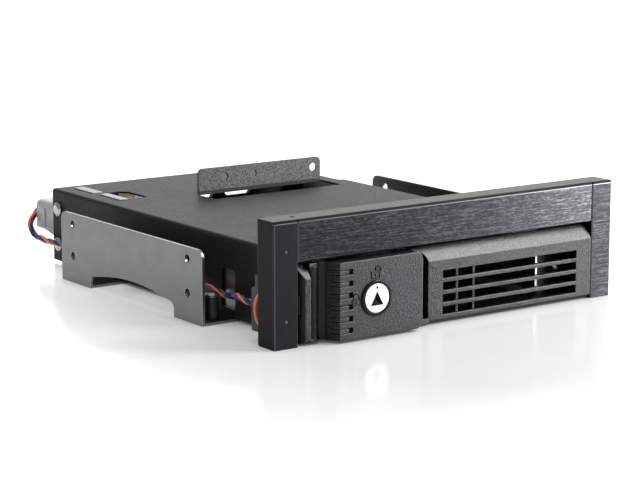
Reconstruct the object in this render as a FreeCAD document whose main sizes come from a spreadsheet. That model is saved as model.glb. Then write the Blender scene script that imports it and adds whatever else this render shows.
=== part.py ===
import FreeCAD, Part
import math
import os

import Sketcher
from FreeCAD import Placement, Rotation, Vector

# Hot swap cage for one 3.5 inch drive, for a half height 5.25 inch bay.
# X runs to the right, Y to the back, Z up. The origin is the middle of the footprint, on the floor.

doc = FreeCAD.newDocument("hot_swap_drive_cage")

# ---------------------------------------------------------------- driving sizes, in millimetres
SIZES = [
    # the bay and the bezel that closes it
    ("bay_width", 146.0, "across the bay brackets and the bezel"),
    ("bezel_height", 42.0, "half height bay opening"),
    ("bezel_depth", 9.2, "front face to back edge of the bezel"),
    ("bezel_wall", 1.6, "wall of the moulded bezel frame"),
    ("plate_gauge", 1.0, "brushed plates on the bezel"),
    ("plate_seam", 0.2, "gap between two bezel plates"),
    ("plate_bevel", 0.3, "bright chamfer round each plate"),
    ("post_width", 9.2, "upright at each end of the bezel"),
    ("strip_height", 14.0, "bar above the tray opening"),
    ("web_gauge", 1.2, "closing web behind the tray front"),
    ("rim_lip", 0.4, "rim round the bezel's back that meets the bay"),
    # the folded cage
    ("cage_width", 105.6, "outside of the cage"),
    ("cage_offset", 6.8, "cage centre, left of the bay centre"),
    ("cage_step", 0.8, "cage's top above the underside of the bezel's bar"),
    ("sheet_gauge", 0.7, "cage sheet steel"),
    ("fold_radius", 1.2, "outside of a sheet fold"),
    ("flange_reach", 10.0, "front flanges, out from the cage"),
    ("tab_setback", 127.5, "bezel face to the tab folded up from the roof"),
    ("tab_width", 57.0, "tab folded up from the roof"),
    ("tab_height", 9.4, "tab folded up from the roof"),
    ("tab_hole", 3.2, "holes in the roof tab"),
    ("opening_length", 14.0, "roof opening that the tab leaves"),
    ("hatch_inset", 11.4, "cage side to the roof hatch"),
    ("hatch_width", 8.4, "roof hatch"),
    ("hatch_length", 17.0, "roof hatch"),
    ("hatch_margin", 11.3, "roof hatch to the back panel"),
    ("label_gauge", 0.3, "stickers on the roof"),
    ("floor_slot", 4.0, "air slots of the floor"),
    ("floor_slot_pitch", 12.0, "air slots of the floor"),
    # bay brackets
    ("bracket_gauge", 1.0, "bracket sheet"),
    ("bracket_height", 26.0, "bracket plate"),
    ("bracket_length", 97.0, "bracket plate"),
    ("bracket_setback", 43.0, "bezel face to the bracket"),
    ("bracket_overlap", 9.0, "flange under the cage"),
    ("arch_height", 7.6, "cut-out along the bracket's foot"),
    ("bay_hole_low", 10.0, "lower row of bay holes"),
    ("bay_hole_rise", 11.84, "between the rows of bay holes"),
    ("bay_hole_pitch", 79.25, "between the columns of bay holes"),
    ("bay_hole_setback", 52.3, "bezel face to the first bay holes"),
    ("bay_hole", 3.2, "bay hole, bored"),
    # drive and its tray
    ("drive_width", 101.6, "drive that the tray takes"),
    ("rail_gauge", 0.9, "tray side rail sheet"),
    ("rail_short", 5.9, "drive's end to the rail's end"),
    ("slide_gap", 0.3, "sliding clearance, each face"),
    ("runner_rise", 2.3, "nylon runner under a rail"),
    ("runner_width", 1.2, "nylon runner"),
    ("tray_depth", 7.6, "moulded tray front"),
    ("tray_gap", 0.3, "tray front to a bezel post"),
    ("tray_foot", 0.6, "floor to the tray front"),
    ("tray_headroom", 1.1, "tray front to the bar above it"),
    ("brow_height", 4.9, "sloping brow of the tray front"),
    ("brow_depth", 3.2, "sloping brow of the tray front"),
    ("skin", 2.0, "moulded wall of the tray front"),
    ("vent_width", 60.8, "front vent slots"),
    ("vent_height", 2.9, "front vent slots"),
    ("vent_pitch", 4.15, "front vent slots"),
    ("vent_foot", 3.0, "floor to the lowest vent slot"),
    ("vent_edge", 6.8, "last vent slot to the tray's end"),
    ("oval_length", 8.0, "vent ovals of the rails"),
    ("oval_width", 2.4, "vent ovals of the rails"),
    ("oval_pitch", 12.8, "vent ovals of the rails"),
    ("oval_rise", 4.35, "between the rows of vent ovals"),
    ("oval_foot", 1.8, "rail's lower edge to the lowest ovals"),
    ("oval_front", 5.4, "rail's front edge to the first ovals"),
    ("drive_length", 147.0, "drive that the tray takes"),
    ("drive_hole_rise", 6.35, "drive's underside to its side screws"),
    # lever and its lock
    ("lever_bay_depth", 4.5, "recess that the lever folds into"),
    ("lever_proud", 4.5, "lever in front of the bezel face"),
    ("lever_width", 38.3, "lever body"),
    ("lever_wall", 1.6, "lever shell"),
    ("lever_inset", 8.9, "tray end to the lever body"),
    ("grip_pitch", 3.9, "bars of the lever's grip"),
    ("finger_gap", 6.0, "slot beside the lever's free end"),
    ("pivot_inset", 6.8, "tray end to the hinge pin"),
    ("pivot_depth", 2.4, "face to the hinge pin"),
    ("pin_diameter", 2.0, "hinge pin"),
    ("knuckle", 3.7, "hinge knuckle"),
    ("fit_gap", 0.05, "running fit, on the radius"),
    ("nose_reach", 6.0, "ejector nose, from the pin"),
    ("lock_inset", 27.8, "tray end to the lock"),
    ("lock_drop", 14.3, "lock below the bar above the tray"),
    ("lock_ring", 12.2, "lock collar"),
    ("lock_sleeve", 11.4, "threaded sleeve of the lock"),
    ("lock_face", 10.0, "turning face of the lock"),
    ("lock_shank", 6.4, "turning shank of the lock"),
    ("lock_proud", 0.6, "collar in front of the lever"),
    ("bolt_bite", 1.5, "lock bolt into the bar above the tray"),
    ("cam_width", 5.0, "lock bolt"),
    ("cam_gauge", 1.2, "lock bolt"),
    # electronics at the back
    ("panel_gap", 5.8, "drive's end to the back panel"),
    ("panel_flange", 9.7, "back panel to the cage's rear edge"),
    ("wall_screw_place", 5.1, "back panel to the screws in its flanges"),
    ("board_gauge", 1.6, "circuit boards"),
    ("header_overhang", 16.5, "power header behind the cage"),
    ("header_width", 20.8, "power header"),
    ("header_wall", 1.2, "shroud of the power header"),
    ("pin_pitch", 5.08, "power pins"),
    ("power_pin", 2.0, "power pins"),
    ("lead_diameter", 2.6, "twisted lead"),
    ("lead_gap", 0.6, "lead behind the power header"),
    ("screw_thread", 3.0, "machine screws"),
    ("screw_head", 5.4, "pan heads"),
    ("head_rise", 1.5, "pan heads"),
]


class Size:
    """A length: its number and the sheet expression that gives it."""

    def __init__(self, value, text):
        self.value = value
        self.text = text

    def __add__(self, other):
        other = as_size(other)
        return Size(self.value + other.value, f"({self.text} + {other.text})")

    def __sub__(self, other):
        other = as_size(other)
        return Size(self.value - other.value, f"({self.text} - {other.text})")

    def __mul__(self, factor):
        return Size(self.value * factor, f"({self.text} * {factor})")

    def __truediv__(self, factor):
        return Size(self.value / factor, f"({self.text} / {factor})")

    def __radd__(self, other):
        return as_size(other) + self

    def __rsub__(self, other):
        return as_size(other) - self

    def __neg__(self):
        return Size(-self.value, f"(-1 * {self.text})")

    __rmul__ = __mul__


def as_size(length):
    if isinstance(length, Size):
        return length
    return Size(float(length), f"({float(length)})")


class Sheet:
    """The driving sizes by name, each one a cell of the document's spreadsheet."""

    def __init__(self, rows):
        cells = doc.addObject("Spreadsheet::Sheet", "Sizes")
        for row, (alias, value, note) in enumerate(rows, start=1):
            cells.set(f"A{row}", alias)
            cells.set(f"B{row}", str(value))
            cells.set(f"C{row}", note)
            cells.setAlias(f"B{row}", alias)
            setattr(self, alias, Size(value, f"Sizes.{alias}"))


mm = Sheet(SIZES)
doc.recompute()

# ---------------------------------------------------------------- places that follow from the sizes
lock_front = mm.lever_proud + mm.lock_proud
drive_reach = mm.tray_depth + mm.rail_gauge + mm.drive_length
cage_reach = drive_reach + mm.panel_gap + mm.panel_flange
rear_reach = cage_reach + mm.header_overhang + mm.lead_gap + mm.lead_diameter
face = (lock_front - rear_reach) / 2          # front face of the bezel
bezel_back = face + mm.bezel_depth
drive_back = face + drive_reach
panel_y = drive_back + mm.panel_gap
cage_back = panel_y + mm.panel_flange

bay_left = -mm.bay_width / 2
bay_right = mm.bay_width / 2
post_left = bay_left + mm.post_width          # inner faces of the bezel posts
post_right = bay_right - mm.post_width
strip_foot = mm.bezel_height - mm.strip_height

cage_left = -mm.cage_offset - mm.cage_width / 2
cage_right = -mm.cage_offset + mm.cage_width / 2
inner_left = cage_left + mm.sheet_gauge
inner_right = cage_right - mm.sheet_gauge
cage_foot = mm.bracket_gauge
cage_top = strip_foot + mm.cage_step
floor_top = cage_foot + mm.sheet_gauge
roof = cage_top - mm.sheet_gauge

tray_left = post_left + mm.tray_gap
tray_right = post_right - mm.tray_gap
tray_back = face + mm.tray_depth
tray_top = strip_foot - mm.tray_headroom
rail_left = inner_left + mm.slide_gap         # outer faces of the tray rails
rail_right = inner_right - mm.slide_gap
rail_foot = floor_top + mm.runner_rise + 0.1
rail_top = roof - mm.slide_gap
rail_back = drive_back - mm.rail_short

pivot_x = tray_left + mm.pivot_inset
pivot_y = face + mm.pivot_depth
lever_left = tray_left + mm.lever_inset
lever_right = lever_left + mm.lever_width
lever_face = face - mm.lever_proud
lever_back = face + 3.6
lever_foot = mm.tray_foot + 0.4
bay_floor = face + mm.lever_bay_depth
slot_right = lever_right + mm.finger_gap      # right side of the finger slot
lock_x = tray_left + mm.lock_inset
lock_z = strip_foot - mm.lock_drop
cam_front = face + 1.6
cam_back = cam_front + mm.cam_gauge
cam_reach = strip_foot - lock_z + mm.bolt_bite      # from the lock's axis

board_y = panel_y + mm.sheet_gauge
board_back = board_y + mm.board_gauge

CLEAR = 2.0     # how far a cutting tool runs past a face


# ---------------------------------------------------------------- outlines for sketches
def pin_point(drawing, geometry, point, x, y):
    """Hold a point of a sketch at two sheet expressions."""
    for kind, length in (("DistanceX", x), ("DistanceY", y)):
        constraint = Sketcher.Constraint(kind, geometry, point, length.value)
        bind(drawing, drawing.addConstraint(constraint), length)


def bind(drawing, constraint, length):
    if "Sizes" in length.text:
        drawing.setExpression(f"Constraints[{constraint}]", length.text)


def outline(*corners):
    """A closed outline. A corner is (x, y), or (x, y, radius) where it is rounded."""
    corners = [tuple(as_size(value) for value in corner) for corner in corners]

    def draw(drawing):
        count = len(corners)
        first = drawing.GeometryCount
        points = [Vector(corner[0].value, corner[1].value, 0) for corner in corners]
        starts = list(points)
        stops = list(points)
        arcs = {}
        for n, corner in enumerate(corners):
            if len(corner) < 3:
                continue
            before = (points[n - 1] - points[n]).normalize()
            after = (points[(n + 1) % count] - points[n]).normalize()
            half = before.getAngle(after) / 2
            radius = corner[2].value
            middle = (before + after).normalize()
            stops[n] = points[n] + before * (radius / math.tan(half))
            starts[n] = points[n] + after * (radius / math.tan(half))
            crown = points[n] + middle * (radius / math.sin(half) - radius)
            if before.cross(after).z < 0:
                arcs[n] = (Part.Arc(stops[n], crown, starts[n]), 1, 2)
            else:
                arcs[n] = (Part.Arc(starts[n], crown, stops[n]), 2, 1)
        lines = [Part.LineSegment(starts[n], stops[(n + 1) % count]) for n in range(count)]
        drawing.addGeometry(lines, False)
        for n, corner in enumerate(corners):
            before_line = first + (n - 1) % count
            after_line = first + n
            if n not in arcs:
                drawing.addConstraint(Sketcher.Constraint("Coincident", before_line, 2, after_line, 1))
                pin_point(drawing, after_line, 1, corner[0], corner[1])
                continue
            curve, near, far = arcs[n]
            arc = drawing.addGeometry(curve, False)
            mark = drawing.addGeometry(Part.Point(points[n]), True)
            drawing.addConstraint([
                Sketcher.Constraint("Tangent", before_line, 2, arc, near),
                Sketcher.Constraint("Tangent", after_line, 1, arc, far),
                Sketcher.Constraint("PointOnObject", mark, 1, before_line),
                Sketcher.Constraint("PointOnObject", mark, 1, after_line),
            ])
            radius = drawing.addConstraint(Sketcher.Constraint("Radius", arc, corner[2].value))
            bind(drawing, radius, corner[2])
            pin_point(drawing, mark, 1, corner[0], corner[1])

    return draw


def rectangle(x0, x1, y0, y1, radius=None):
    """A rectangle between two places each way, with its corners rounded if a radius is given."""
    corners = [(x0, y0), (x1, y0), (x1, y1), (x0, y1)]
    if radius is not None:
        corners = [corner + (radius,) for corner in corners]
    return outline(*corners)


def circle(x, y, diameter):
    x, y, diameter = as_size(x), as_size(y), as_size(diameter)

    def draw(drawing):
        ring = Part.Circle(Vector(x.value, y.value, 0), Vector(0, 0, 1), diameter.value / 2)
        index = drawing.addGeometry(ring, False)
        pin_point(drawing, index, 3, x, y)
        size = drawing.addConstraint(Sketcher.Constraint("Diameter", index, diameter.value))
        bind(drawing, size, diameter)

    return draw


def slot(x, y, length, width):
    """A punched slot whose corners are cut off at an angle, along the sketch's first direction."""
    reach, half, corner = length / 2, width / 2, width / 3.4
    return outline(
        (x - reach + corner, y - half), (x + reach - corner, y - half), (x + reach, y - half + corner),
        (x + reach, y + half - corner), (x + reach - corner, y + half), (x - reach + corner, y + half),
        (x - reach, y + half - corner), (x - reach, y - half + corner))


# ---------------------------------------------------------------- features
PLANES = {"X": "YZ_Plane", "Y": "XZ_Plane", "Z": "XY_Plane"}
sub_parts = []


def new_body(label):
    body = doc.addObject("PartDesign::Body", label)
    body.Label = label
    sub_parts.append(body)
    return body


def sketch(body, name, axis, place, shapes):
    """A sketch across an axis, at a place along it. X shows (Y, Z), Y shows (X, Z), Z shows (X, Y)."""
    plane = [feature for feature in body.Origin.OriginFeatures if feature.Role == PLANES[axis]][0]
    drawing = body.newObject("Sketcher::SketchObject", name)
    drawing.AttachmentSupport = [(plane, "")]
    drawing.MapMode = "FlatFace"
    place = as_size(place)
    offset = -place if axis == "Y" else place
    drawing.setExpression("AttachmentOffset.Base.z", offset.text)
    for shape in shapes:
        shape(drawing)
    return drawing


def pad(body, name, axis, start, end, *shapes):
    """Add material from start to end along an axis."""
    base = end if axis == "Y" else start
    feature = body.newObject("PartDesign::Pad", name)
    feature.Profile = sketch(body, name + "_sketch", axis, base, shapes)
    feature.setExpression("Length", (as_size(end) - start).text)
    body.Tip = feature
    doc.recompute()
    return feature


def cut(body, name, axis, start, end, *shapes):
    """Take material away from start to end along an axis."""
    before = body.Shape.Volume
    base = end if axis == "Y" else start
    feature = body.newObject("PartDesign::Pocket", name)
    feature.Profile = sketch(body, name + "_sketch", axis, base, shapes)
    feature.Reversed = True
    feature.setExpression("Length", (as_size(end) - start).text)
    body.Tip = feature
    doc.recompute()
    if not body.Shape.Volume < before - 1e-6:
        raise RuntimeError(f"{name} cuts nothing from {body.Label}")
    return feature


def turn(body, name, *corners):
    """A turned piece: an outline of (radius, height) corners round the Z axis."""
    feature = body.newObject("PartDesign::Revolution", name)
    drawing = sketch(body, name + "_sketch", "Y", 0, [outline(*corners)])
    feature.Profile = drawing
    feature.ReferenceAxis = (drawing, ["V_Axis"])
    feature.Angle = 360
    body.Tip = feature
    doc.recompute()
    return feature


def repeat(body, name, feature, direction, pitch, count):
    """A row of copies of a feature, along H_Axis, V_Axis or N_Axis of its own sketch."""
    row = body.newObject("PartDesign::LinearPattern", name)
    row.Originals = [feature]
    row.Direction = (feature.Profile[0], [direction])
    row.Occurrences = count
    row.setExpression("Length", (as_size(pitch) * (count - 1)).text)
    body.Tip = row
    doc.recompute()
    return row


def runs_along(edge, axis):
    """Whether an edge is straight and parallel to an axis."""
    if edge.Curve.TypeId != "Part::GeomLine":
        return False
    return abs(abs(getattr(edge.Curve.Direction, axis.lower())) - 1) < 1e-6


def is_at(edge, **place):
    """Whether an edge's middle lies at the given x, y or z."""
    middle = edge.CenterOfMass
    return all(abs(getattr(middle, way) - as_size(value).value) < 0.01 for way, value in place.items())


def dress(body, kind, name, radius, choose):
    """A fillet or chamfer on the edges that a test picks."""
    base = body.Tip
    edges = [f"Edge{n}" for n, edge in enumerate(base.Shape.Edges, start=1) if choose(edge)]
    if not edges:
        raise RuntimeError(f"{name} finds no edge on {body.Label}")
    feature = body.newObject(f"PartDesign::{kind}", name)
    feature.Base = (base, edges)
    size = "Radius" if kind == "Fillet" else "Size"
    feature.setExpression(size, as_size(radius).text)
    body.Tip = feature
    doc.recompute()
    return feature


def group(label, master, places):
    """Several copies of one piece as one sub-part. A place is (x, y, z, rotation)."""
    solids = []
    for x, y, z, rotation in places:
        copy = master.Shape.copy()
        spot = Vector(as_size(x).value, as_size(y).value, as_size(z).value)
        copy.Placement = Placement(spot, rotation)
        solids.append(copy)
    feature = doc.addObject("Part::Feature", label)
    feature.Label = label
    feature.Shape = Part.makeCompound(solids)
    feature.Placement = Placement()
    sub_parts.append(feature)
    return feature


UPRIGHT = Rotation()
FACING_FRONT = Rotation(Vector(1, 0, 0), 90)      # a head that looks out of the front
FACING_BACK = Rotation(Vector(1, 0, 0), -90)      # a head that looks out of the back
FACING_LEFT = Rotation(Vector(0, 1, 0), -90)
FACING_RIGHT = Rotation(Vector(0, 1, 0), 90)


# ---------------------------------------------------------------- the bezel
light_x = bay_left + mm.post_width / 2 + 0.2
light_places = [32.0, 9.0]                    # heights of the two indicator lights
light_bore = 1.3
boss_places = [-42.0, 30.0]                   # bezel screws, along X
boss_z = mm.bezel_height - 7.5
web_front = bezel_back - mm.web_gauge
web_screw_x = cage_right + 8.8
web_screw_z = 12.3


def build_bezel_frame():
    body = new_body("bezel_frame")
    front = face + mm.plate_gauge
    wall = mm.bezel_wall
    pad(body, "arch", "Y", front, bezel_back, outline(
        (bay_left, 0), (post_left, 0), (post_left, strip_foot), (post_right, strip_foot),
        (post_right, 0), (bay_right, 0), (bay_right, mm.bezel_height), (bay_left, mm.bezel_height)))
    cut(body, "hollow", "Y", front + wall, bezel_back, outline(
        (bay_left + wall, wall), (post_left - wall, wall),
        (post_left - wall, strip_foot + wall), (post_right + wall, strip_foot + wall),
        (post_right + wall, wall), (bay_right - wall, wall),
        (bay_right - wall, mm.bezel_height - wall), (bay_left + wall, mm.bezel_height - wall)))
    rib_places = [-56.0, -28.0, -14.0, 0.0, 14.0, 44.0, 58.0]
    pad(body, "ribs", "Y", front + wall / 2, bezel_back - 0.6, *[
        rectangle(x, x + mm.plate_gauge, strip_foot + wall / 2, mm.bezel_height - wall / 2)
        for x in rib_places])
    pad(body, "bosses", "Y", front + wall / 2, bezel_back,
        *[circle(x, boss_z, mm.screw_head + 1.2) for x in boss_places])
    pad(body, "rim", "Y", bezel_back, bezel_back + mm.rim_lip, outline(
        (bay_left, 0), (bay_left + wall, 0), (bay_left + wall, mm.bezel_height - wall),
        (bay_right - wall, mm.bezel_height - wall), (bay_right - wall, 0), (bay_right, 0),
        (bay_right, mm.bezel_height), (bay_left, mm.bezel_height)))
    pad(body, "webs", "Y", web_front, bezel_back,
        rectangle(post_left - wall / 2, inner_left, mm.bracket_gauge, strip_foot + wall / 2),
        rectangle(inner_right, post_right + wall / 2, mm.bracket_gauge, strip_foot + wall / 2))
    cut(body, "light_bores", "Y", front - CLEAR, front + wall + CLEAR,
        *[circle(light_x, z, light_bore) for z in light_places])
    bolt = mm.cam_width / 2 + mm.slide_gap
    cut(body, "bolt_slot", "Y", cam_front - mm.slide_gap, cam_back + mm.slide_gap,
        rectangle(lock_x - bolt, lock_x + cam_reach * 0.62, strip_foot - CLEAR,
                  lock_z + cam_reach + mm.slide_gap))
    cut(body, "top_bore", "Z", mm.bezel_height - wall - CLEAR, mm.bezel_height + CLEAR,
        circle(post_left + 1.6, face + 5.8, 1.6))
    dress(body, "Fillet", "foot_round", 1.0, lambda edge: runs_along(edge, "X")
          and is_at(edge, y=bezel_back + mm.rim_lip, z=0))
    return body


def build_plate(label, x0, x1, z0, z1, bores=()):
    """A brushed plate on the bezel's face, with a chamfer round its front edge."""
    body = new_body(label)
    pad(body, "plate", "Y", face, face + mm.plate_gauge, rectangle(x0, x1, z0, z1))
    dress(body, "Chamfer", "bevel", mm.plate_bevel, lambda edge: is_at(edge, y=face))
    if bores:
        cut(body, "bores", "Y", face - CLEAR, face + mm.plate_gauge + CLEAR,
            *[circle(x, z, light_bore) for x, z in bores])
    return body


def build_bezel_plates():
    seam = mm.plate_seam / 2
    build_plate("bezel_left_cap", bay_left, post_left - seam, 0, mm.bezel_height,
                [(light_x, z) for z in light_places])
    build_plate("bezel_top_strip", post_left + seam, post_right - seam, strip_foot, mm.bezel_height)
    build_plate("bezel_right_cap", post_right + seam, bay_right, 0, mm.bezel_height)


# ---------------------------------------------------------------- the lights behind the left cap
light_board_front = face + 4.4
light_board_back = light_board_front + mm.board_gauge
plug_back = face + 19.3
plug_left = bay_left + 3.8
plug_right = post_left - mm.bezel_wall - 0.2


def build_light_board():
    body = new_body("led_board")
    pad(body, "board", "Y", light_board_front, light_board_back,
        rectangle(bay_left + mm.bezel_wall + 0.2, post_left - mm.bezel_wall - 0.2,
                  2.4, mm.bezel_height - mm.bezel_wall - 2.4))


def build_lights():
    """Each light is a pin of clear plastic from the board to just short of the plate's face."""
    body = new_body("indicator_lights")
    pad(body, "pins", "Y", face + 0.2, light_board_front, *[
        circle(light_x, z, light_bore) for z in light_places])


def build_light_plug():
    body = new_body("led_plug")
    pad(body, "housing", "X", plug_left, plug_right, outline(
        (light_board_back, 3.0), (plug_back, 3.0), (plug_back, 17.2), (plug_back - 2.4, 18.2),
        (plug_back - 2.4, 21.8), (light_board_back, 21.8)))
    dress(body, "Fillet", "soft_edges", 0.5, lambda edge: runs_along(edge, "Z")
          and is_at(edge, y=plug_back))


# ---------------------------------------------------------------- the cage
tab_front = face + mm.tab_setback
tab_left = -mm.cage_offset - 13.7
tab_right = tab_left + mm.tab_width
tab_holes = [tab_left + place for place in (11.8, 25.1, 53.5)]
tab_hole_z = cage_top + 5.5
hatch_left = cage_left + mm.hatch_inset
hatch_right = hatch_left + mm.hatch_width
hatch_back = panel_y - mm.hatch_margin
hatch_front = hatch_back - mm.hatch_length
hatch_corner = 3.0                            # cut off at the back right
window_front, window_back = face + 43.2, face + 51.8
window_foot, window_top = 3.6, 17.6
wall_screw_y = panel_y + mm.wall_screw_place
wall_screw_z = [7.6, cage_top - 7.5]
floor_tabs = [(face + 36.0, 10.0), (face + 88.0, 12.0), (panel_y - 15.3, 12.0)]   # start, length
flange_top = cage_top + mm.flange_reach
notch_front, notch_back = bezel_back + 4.0, face + 33.0
notch_top = 19.0


def build_cage_shell():
    body = new_body("cage_shell")
    gauge = mm.sheet_gauge
    inner_fold = mm.fold_radius - gauge
    pad(body, "channel", "Y", bezel_back, cage_back, outline(
        (cage_left, cage_foot), (inner_left, cage_foot), (inner_left, roof, inner_fold),
        (inner_right, roof, inner_fold), (inner_right, cage_foot), (cage_right, cage_foot),
        (cage_right, cage_top, mm.fold_radius), (cage_left, cage_top, mm.fold_radius)))
    pad(body, "top_flange", "Y", bezel_back, bezel_back + gauge, rectangle(
        cage_left + 6, cage_right - 6, roof, flange_top))
    pad(body, "side_flange", "Y", bezel_back, bezel_back + gauge, rectangle(
        inner_right, cage_right + mm.flange_reach + 4, cage_foot + 2, cage_top - 2.8))
    cut(body, "roof_opening", "Z", roof - CLEAR, cage_top + CLEAR, rectangle(
        tab_left - 1.5, tab_right + 0.3, tab_front - mm.opening_length, tab_front))
    tab_top = cage_top + mm.tab_height
    pad(body, "roof_tab", "Y", tab_front, tab_front + gauge, outline(
        (tab_left, roof), (tab_right, roof), (tab_right, tab_top, 2.0), (tab_left, tab_top, 2.0)))
    cut(body, "tab_bores", "Y", tab_front - CLEAR, tab_front + CLEAR,
        *[circle(x, tab_hole_z, mm.tab_hole) for x in tab_holes])
    cut(body, "hatch", "Z", roof - CLEAR, cage_top + CLEAR, outline(
        (hatch_left, hatch_front), (hatch_right, hatch_front), (hatch_right, hatch_back - hatch_corner),
        (hatch_right - hatch_corner, hatch_back), (hatch_left, hatch_back)))
    notch_left = cage_right - 3.2
    cut(body, "roof_notch", "Z", roof - CLEAR, cage_top + CLEAR, outline(
        (cage_right + CLEAR, tab_front - 6.5), (notch_left, tab_front - 3.5),
        (notch_left, cage_back + CLEAR), (cage_right + CLEAR, cage_back + CLEAR)))
    cut(body, "wall_window", "X", cage_left - CLEAR, inner_left + CLEAR, rectangle(
        window_front, window_back, window_foot, window_top, 1.8))
    cut(body, "lead_notch", "X", cage_left - CLEAR, inner_left + CLEAR, outline(
        (notch_front, cage_foot - CLEAR), (notch_back, cage_foot - CLEAR),
        (notch_back, notch_top - 4, 2.0), (notch_back - 3, notch_top, 2.0),
        (notch_front, notch_top, 2.0)))
    cut(body, "floor_slots", "X", cage_left - CLEAR, cage_right + CLEAR, *[
        rectangle(start, start + length, cage_foot - CLEAR, floor_top)
        for start, length in floor_tabs])
    return body


def build_cage_floor():
    """The floor sheet lies between the walls, with tabs that seat in slots at their feet."""
    body = new_body("cage_floor")
    floor_end = cage_back - 3
    pad(body, "sheet", "Z", cage_foot, floor_top,
        rectangle(inner_left, inner_right, bezel_back, floor_end))
    for n, (start, length) in enumerate(floor_tabs):
        pad(body, f"tab_{n}", "Z", cage_foot, floor_top, rectangle(
            cage_left, cage_right, start, start + length))
    first = face + 30
    count = int((floor_end - first - 20).value // mm.floor_slot_pitch.value) + 1
    for column, x in enumerate((-32.0, 4.0)):
        vent = cut(body, f"floor_vent_{column}", "Z", cage_foot - CLEAR, floor_top + CLEAR,
                   slot(x, first, 18.0, mm.floor_slot))
        repeat(body, f"floor_vents_{column}", vent, "V_Axis", mm.floor_slot_pitch, count)
    return body


def rivet_places():
    """One rivet near each end of both bracket flanges, clear of the arches."""
    start = face + mm.bracket_setback
    offsets = [9.0, mm.bracket_length - 9.0]
    left = cage_left + mm.bracket_overlap / 2
    right = cage_right - mm.bracket_overlap / 2
    return [(x, start + offset) for x in (left, right) for offset in offsets]


def build_runner(label, x0, x1):
    """A nylon strip in the corner of the cage that a tray rail slides on."""
    body = new_body(label)
    top = floor_top + mm.runner_rise
    start, end = bezel_back + 3, drive_back - 1.5
    pad(body, "strip", "X", x0, x1, outline(
        (start, floor_top), (end, floor_top), (end, top), (start + 4, top), (start, top - 1.2)))


def build_roof_labels():
    """Two bare stickers between the hatch and the roof's left edge."""
    body = new_body("roof_labels")
    right = hatch_left - 0.6
    pad(body, "narrow_label", "Z", cage_top, cage_top + mm.label_gauge, rectangle(
        right - 3.6, right, hatch_front - 1, hatch_front + 14))
    pad(body, "wide_label", "Z", cage_top, cage_top + mm.label_gauge, rectangle(
        right - 4.2, right, hatch_back + 1, hatch_back + 16))


# ---------------------------------------------------------------- bay brackets
arch_front, arch_back = 18.2, 76.0      # ends of the arch, behind the bracket's front edge


def build_bracket(side):
    """side is -1 for the left bracket and 1 for the right one."""
    body = new_body("bracket_left" if side < 0 else "bracket_right")
    outer = bay_left if side < 0 else bay_right
    plate_inner = outer + mm.bracket_gauge * -side
    cage_side = cage_left if side < 0 else cage_right
    flange_end = cage_side + mm.bracket_overlap * -side
    start = face + mm.bracket_setback
    end = start + mm.bracket_length
    section = [(outer, 0), (flange_end, 0), (flange_end, mm.bracket_gauge),
               (plate_inner, mm.bracket_gauge), (plate_inner, mm.bracket_height),
               (outer, mm.bracket_height)]
    if side > 0:
        section.reverse()
    pad(body, "angle", "Y", start, end, outline(*section))
    dress(body, "Fillet", "corners", 3.0, lambda edge: runs_along(edge, "X")
          and abs(edge.CenterOfMass.z - mm.bracket_height.value) < 0.01)
    low, high = (outer, flange_end) if side < 0 else (flange_end, outer)
    shoulder = mm.arch_height - 2.6
    middle = start + (arch_front + arch_back) / 2
    cut(body, "arch", "X", low - CLEAR, high + CLEAR, outline(
        (start + arch_front, -CLEAR), (start + arch_back, -CLEAR),
        (start + arch_back, shoulder - 0.6, 2.6), (middle, mm.arch_height + 1.4, 120.0),
        (start + arch_front, shoulder, 2.6)))
    rows = [mm.bay_hole_low, mm.bay_hole_low + mm.bay_hole_rise]
    columns = [face + mm.bay_hole_setback, face + mm.bay_hole_setback + mm.bay_hole_pitch]
    edge_low, edge_high = (outer, plate_inner) if side < 0 else (plate_inner, outer)
    cut(body, "bay_holes", "X", edge_low - CLEAR, edge_high + CLEAR,
        *[circle(y, z, mm.bay_hole) for y in columns for z in rows])
    return body


# ---------------------------------------------------------------- back panel and electronics
connector_x = -mm.cage_offset + 20.7
connector_width = 38.0
connector_low, connector_high = 5.2, 11.4
connector_front = drive_back - 0.9
board_screws = [(-44.0, 6.0), (-20.0, 6.0), (39.5, 6.0), (39.5, roof - 4.1)]
look_left, look_right = -42.0, -12.0          # window of the panel, below the roof hatch
look_foot, look_top = roof - 12.1, roof - 1.5
air_slots = [(20.0, roof - 6.6), (2.0, roof - 6.6)]


def build_back_panel():
    body = new_body("back_panel")
    gauge = mm.sheet_gauge
    left, right = inner_left + 0.05, inner_right - 0.05
    end = cage_back - 0.6
    low, high = floor_top + 0.1, roof - 0.4
    pad(body, "channel", "Z", low, high, outline(
        (left, panel_y), (right, panel_y), (right, end), (right - gauge, end),
        (right - gauge, board_y), (left + gauge, board_y), (left + gauge, end), (left, end)))
    cut(body, "windows", "Y", panel_y - CLEAR, board_y + CLEAR,
        rectangle(connector_x - connector_width / 2 - 0.5, connector_x + connector_width / 2 + 0.5,
                  connector_low - 0.5, connector_high + 0.5),
        rectangle(look_left, look_right, look_foot, look_top),
        *[slot(x, z, 14.0, 4.0) for x, z in air_slots])


def build_backplane():
    body = new_body("backplane_board")
    pad(body, "board", "Y", board_y, board_back, rectangle(
        inner_left + 1.4, inner_right - 1.4, floor_top + 0.6, roof - 0.6))
    cut(body, "air_slots", "Y", board_y - CLEAR, board_back + CLEAR,
        *[slot(x, z, 12.0, 3.0) for x, z in air_slots])


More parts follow.
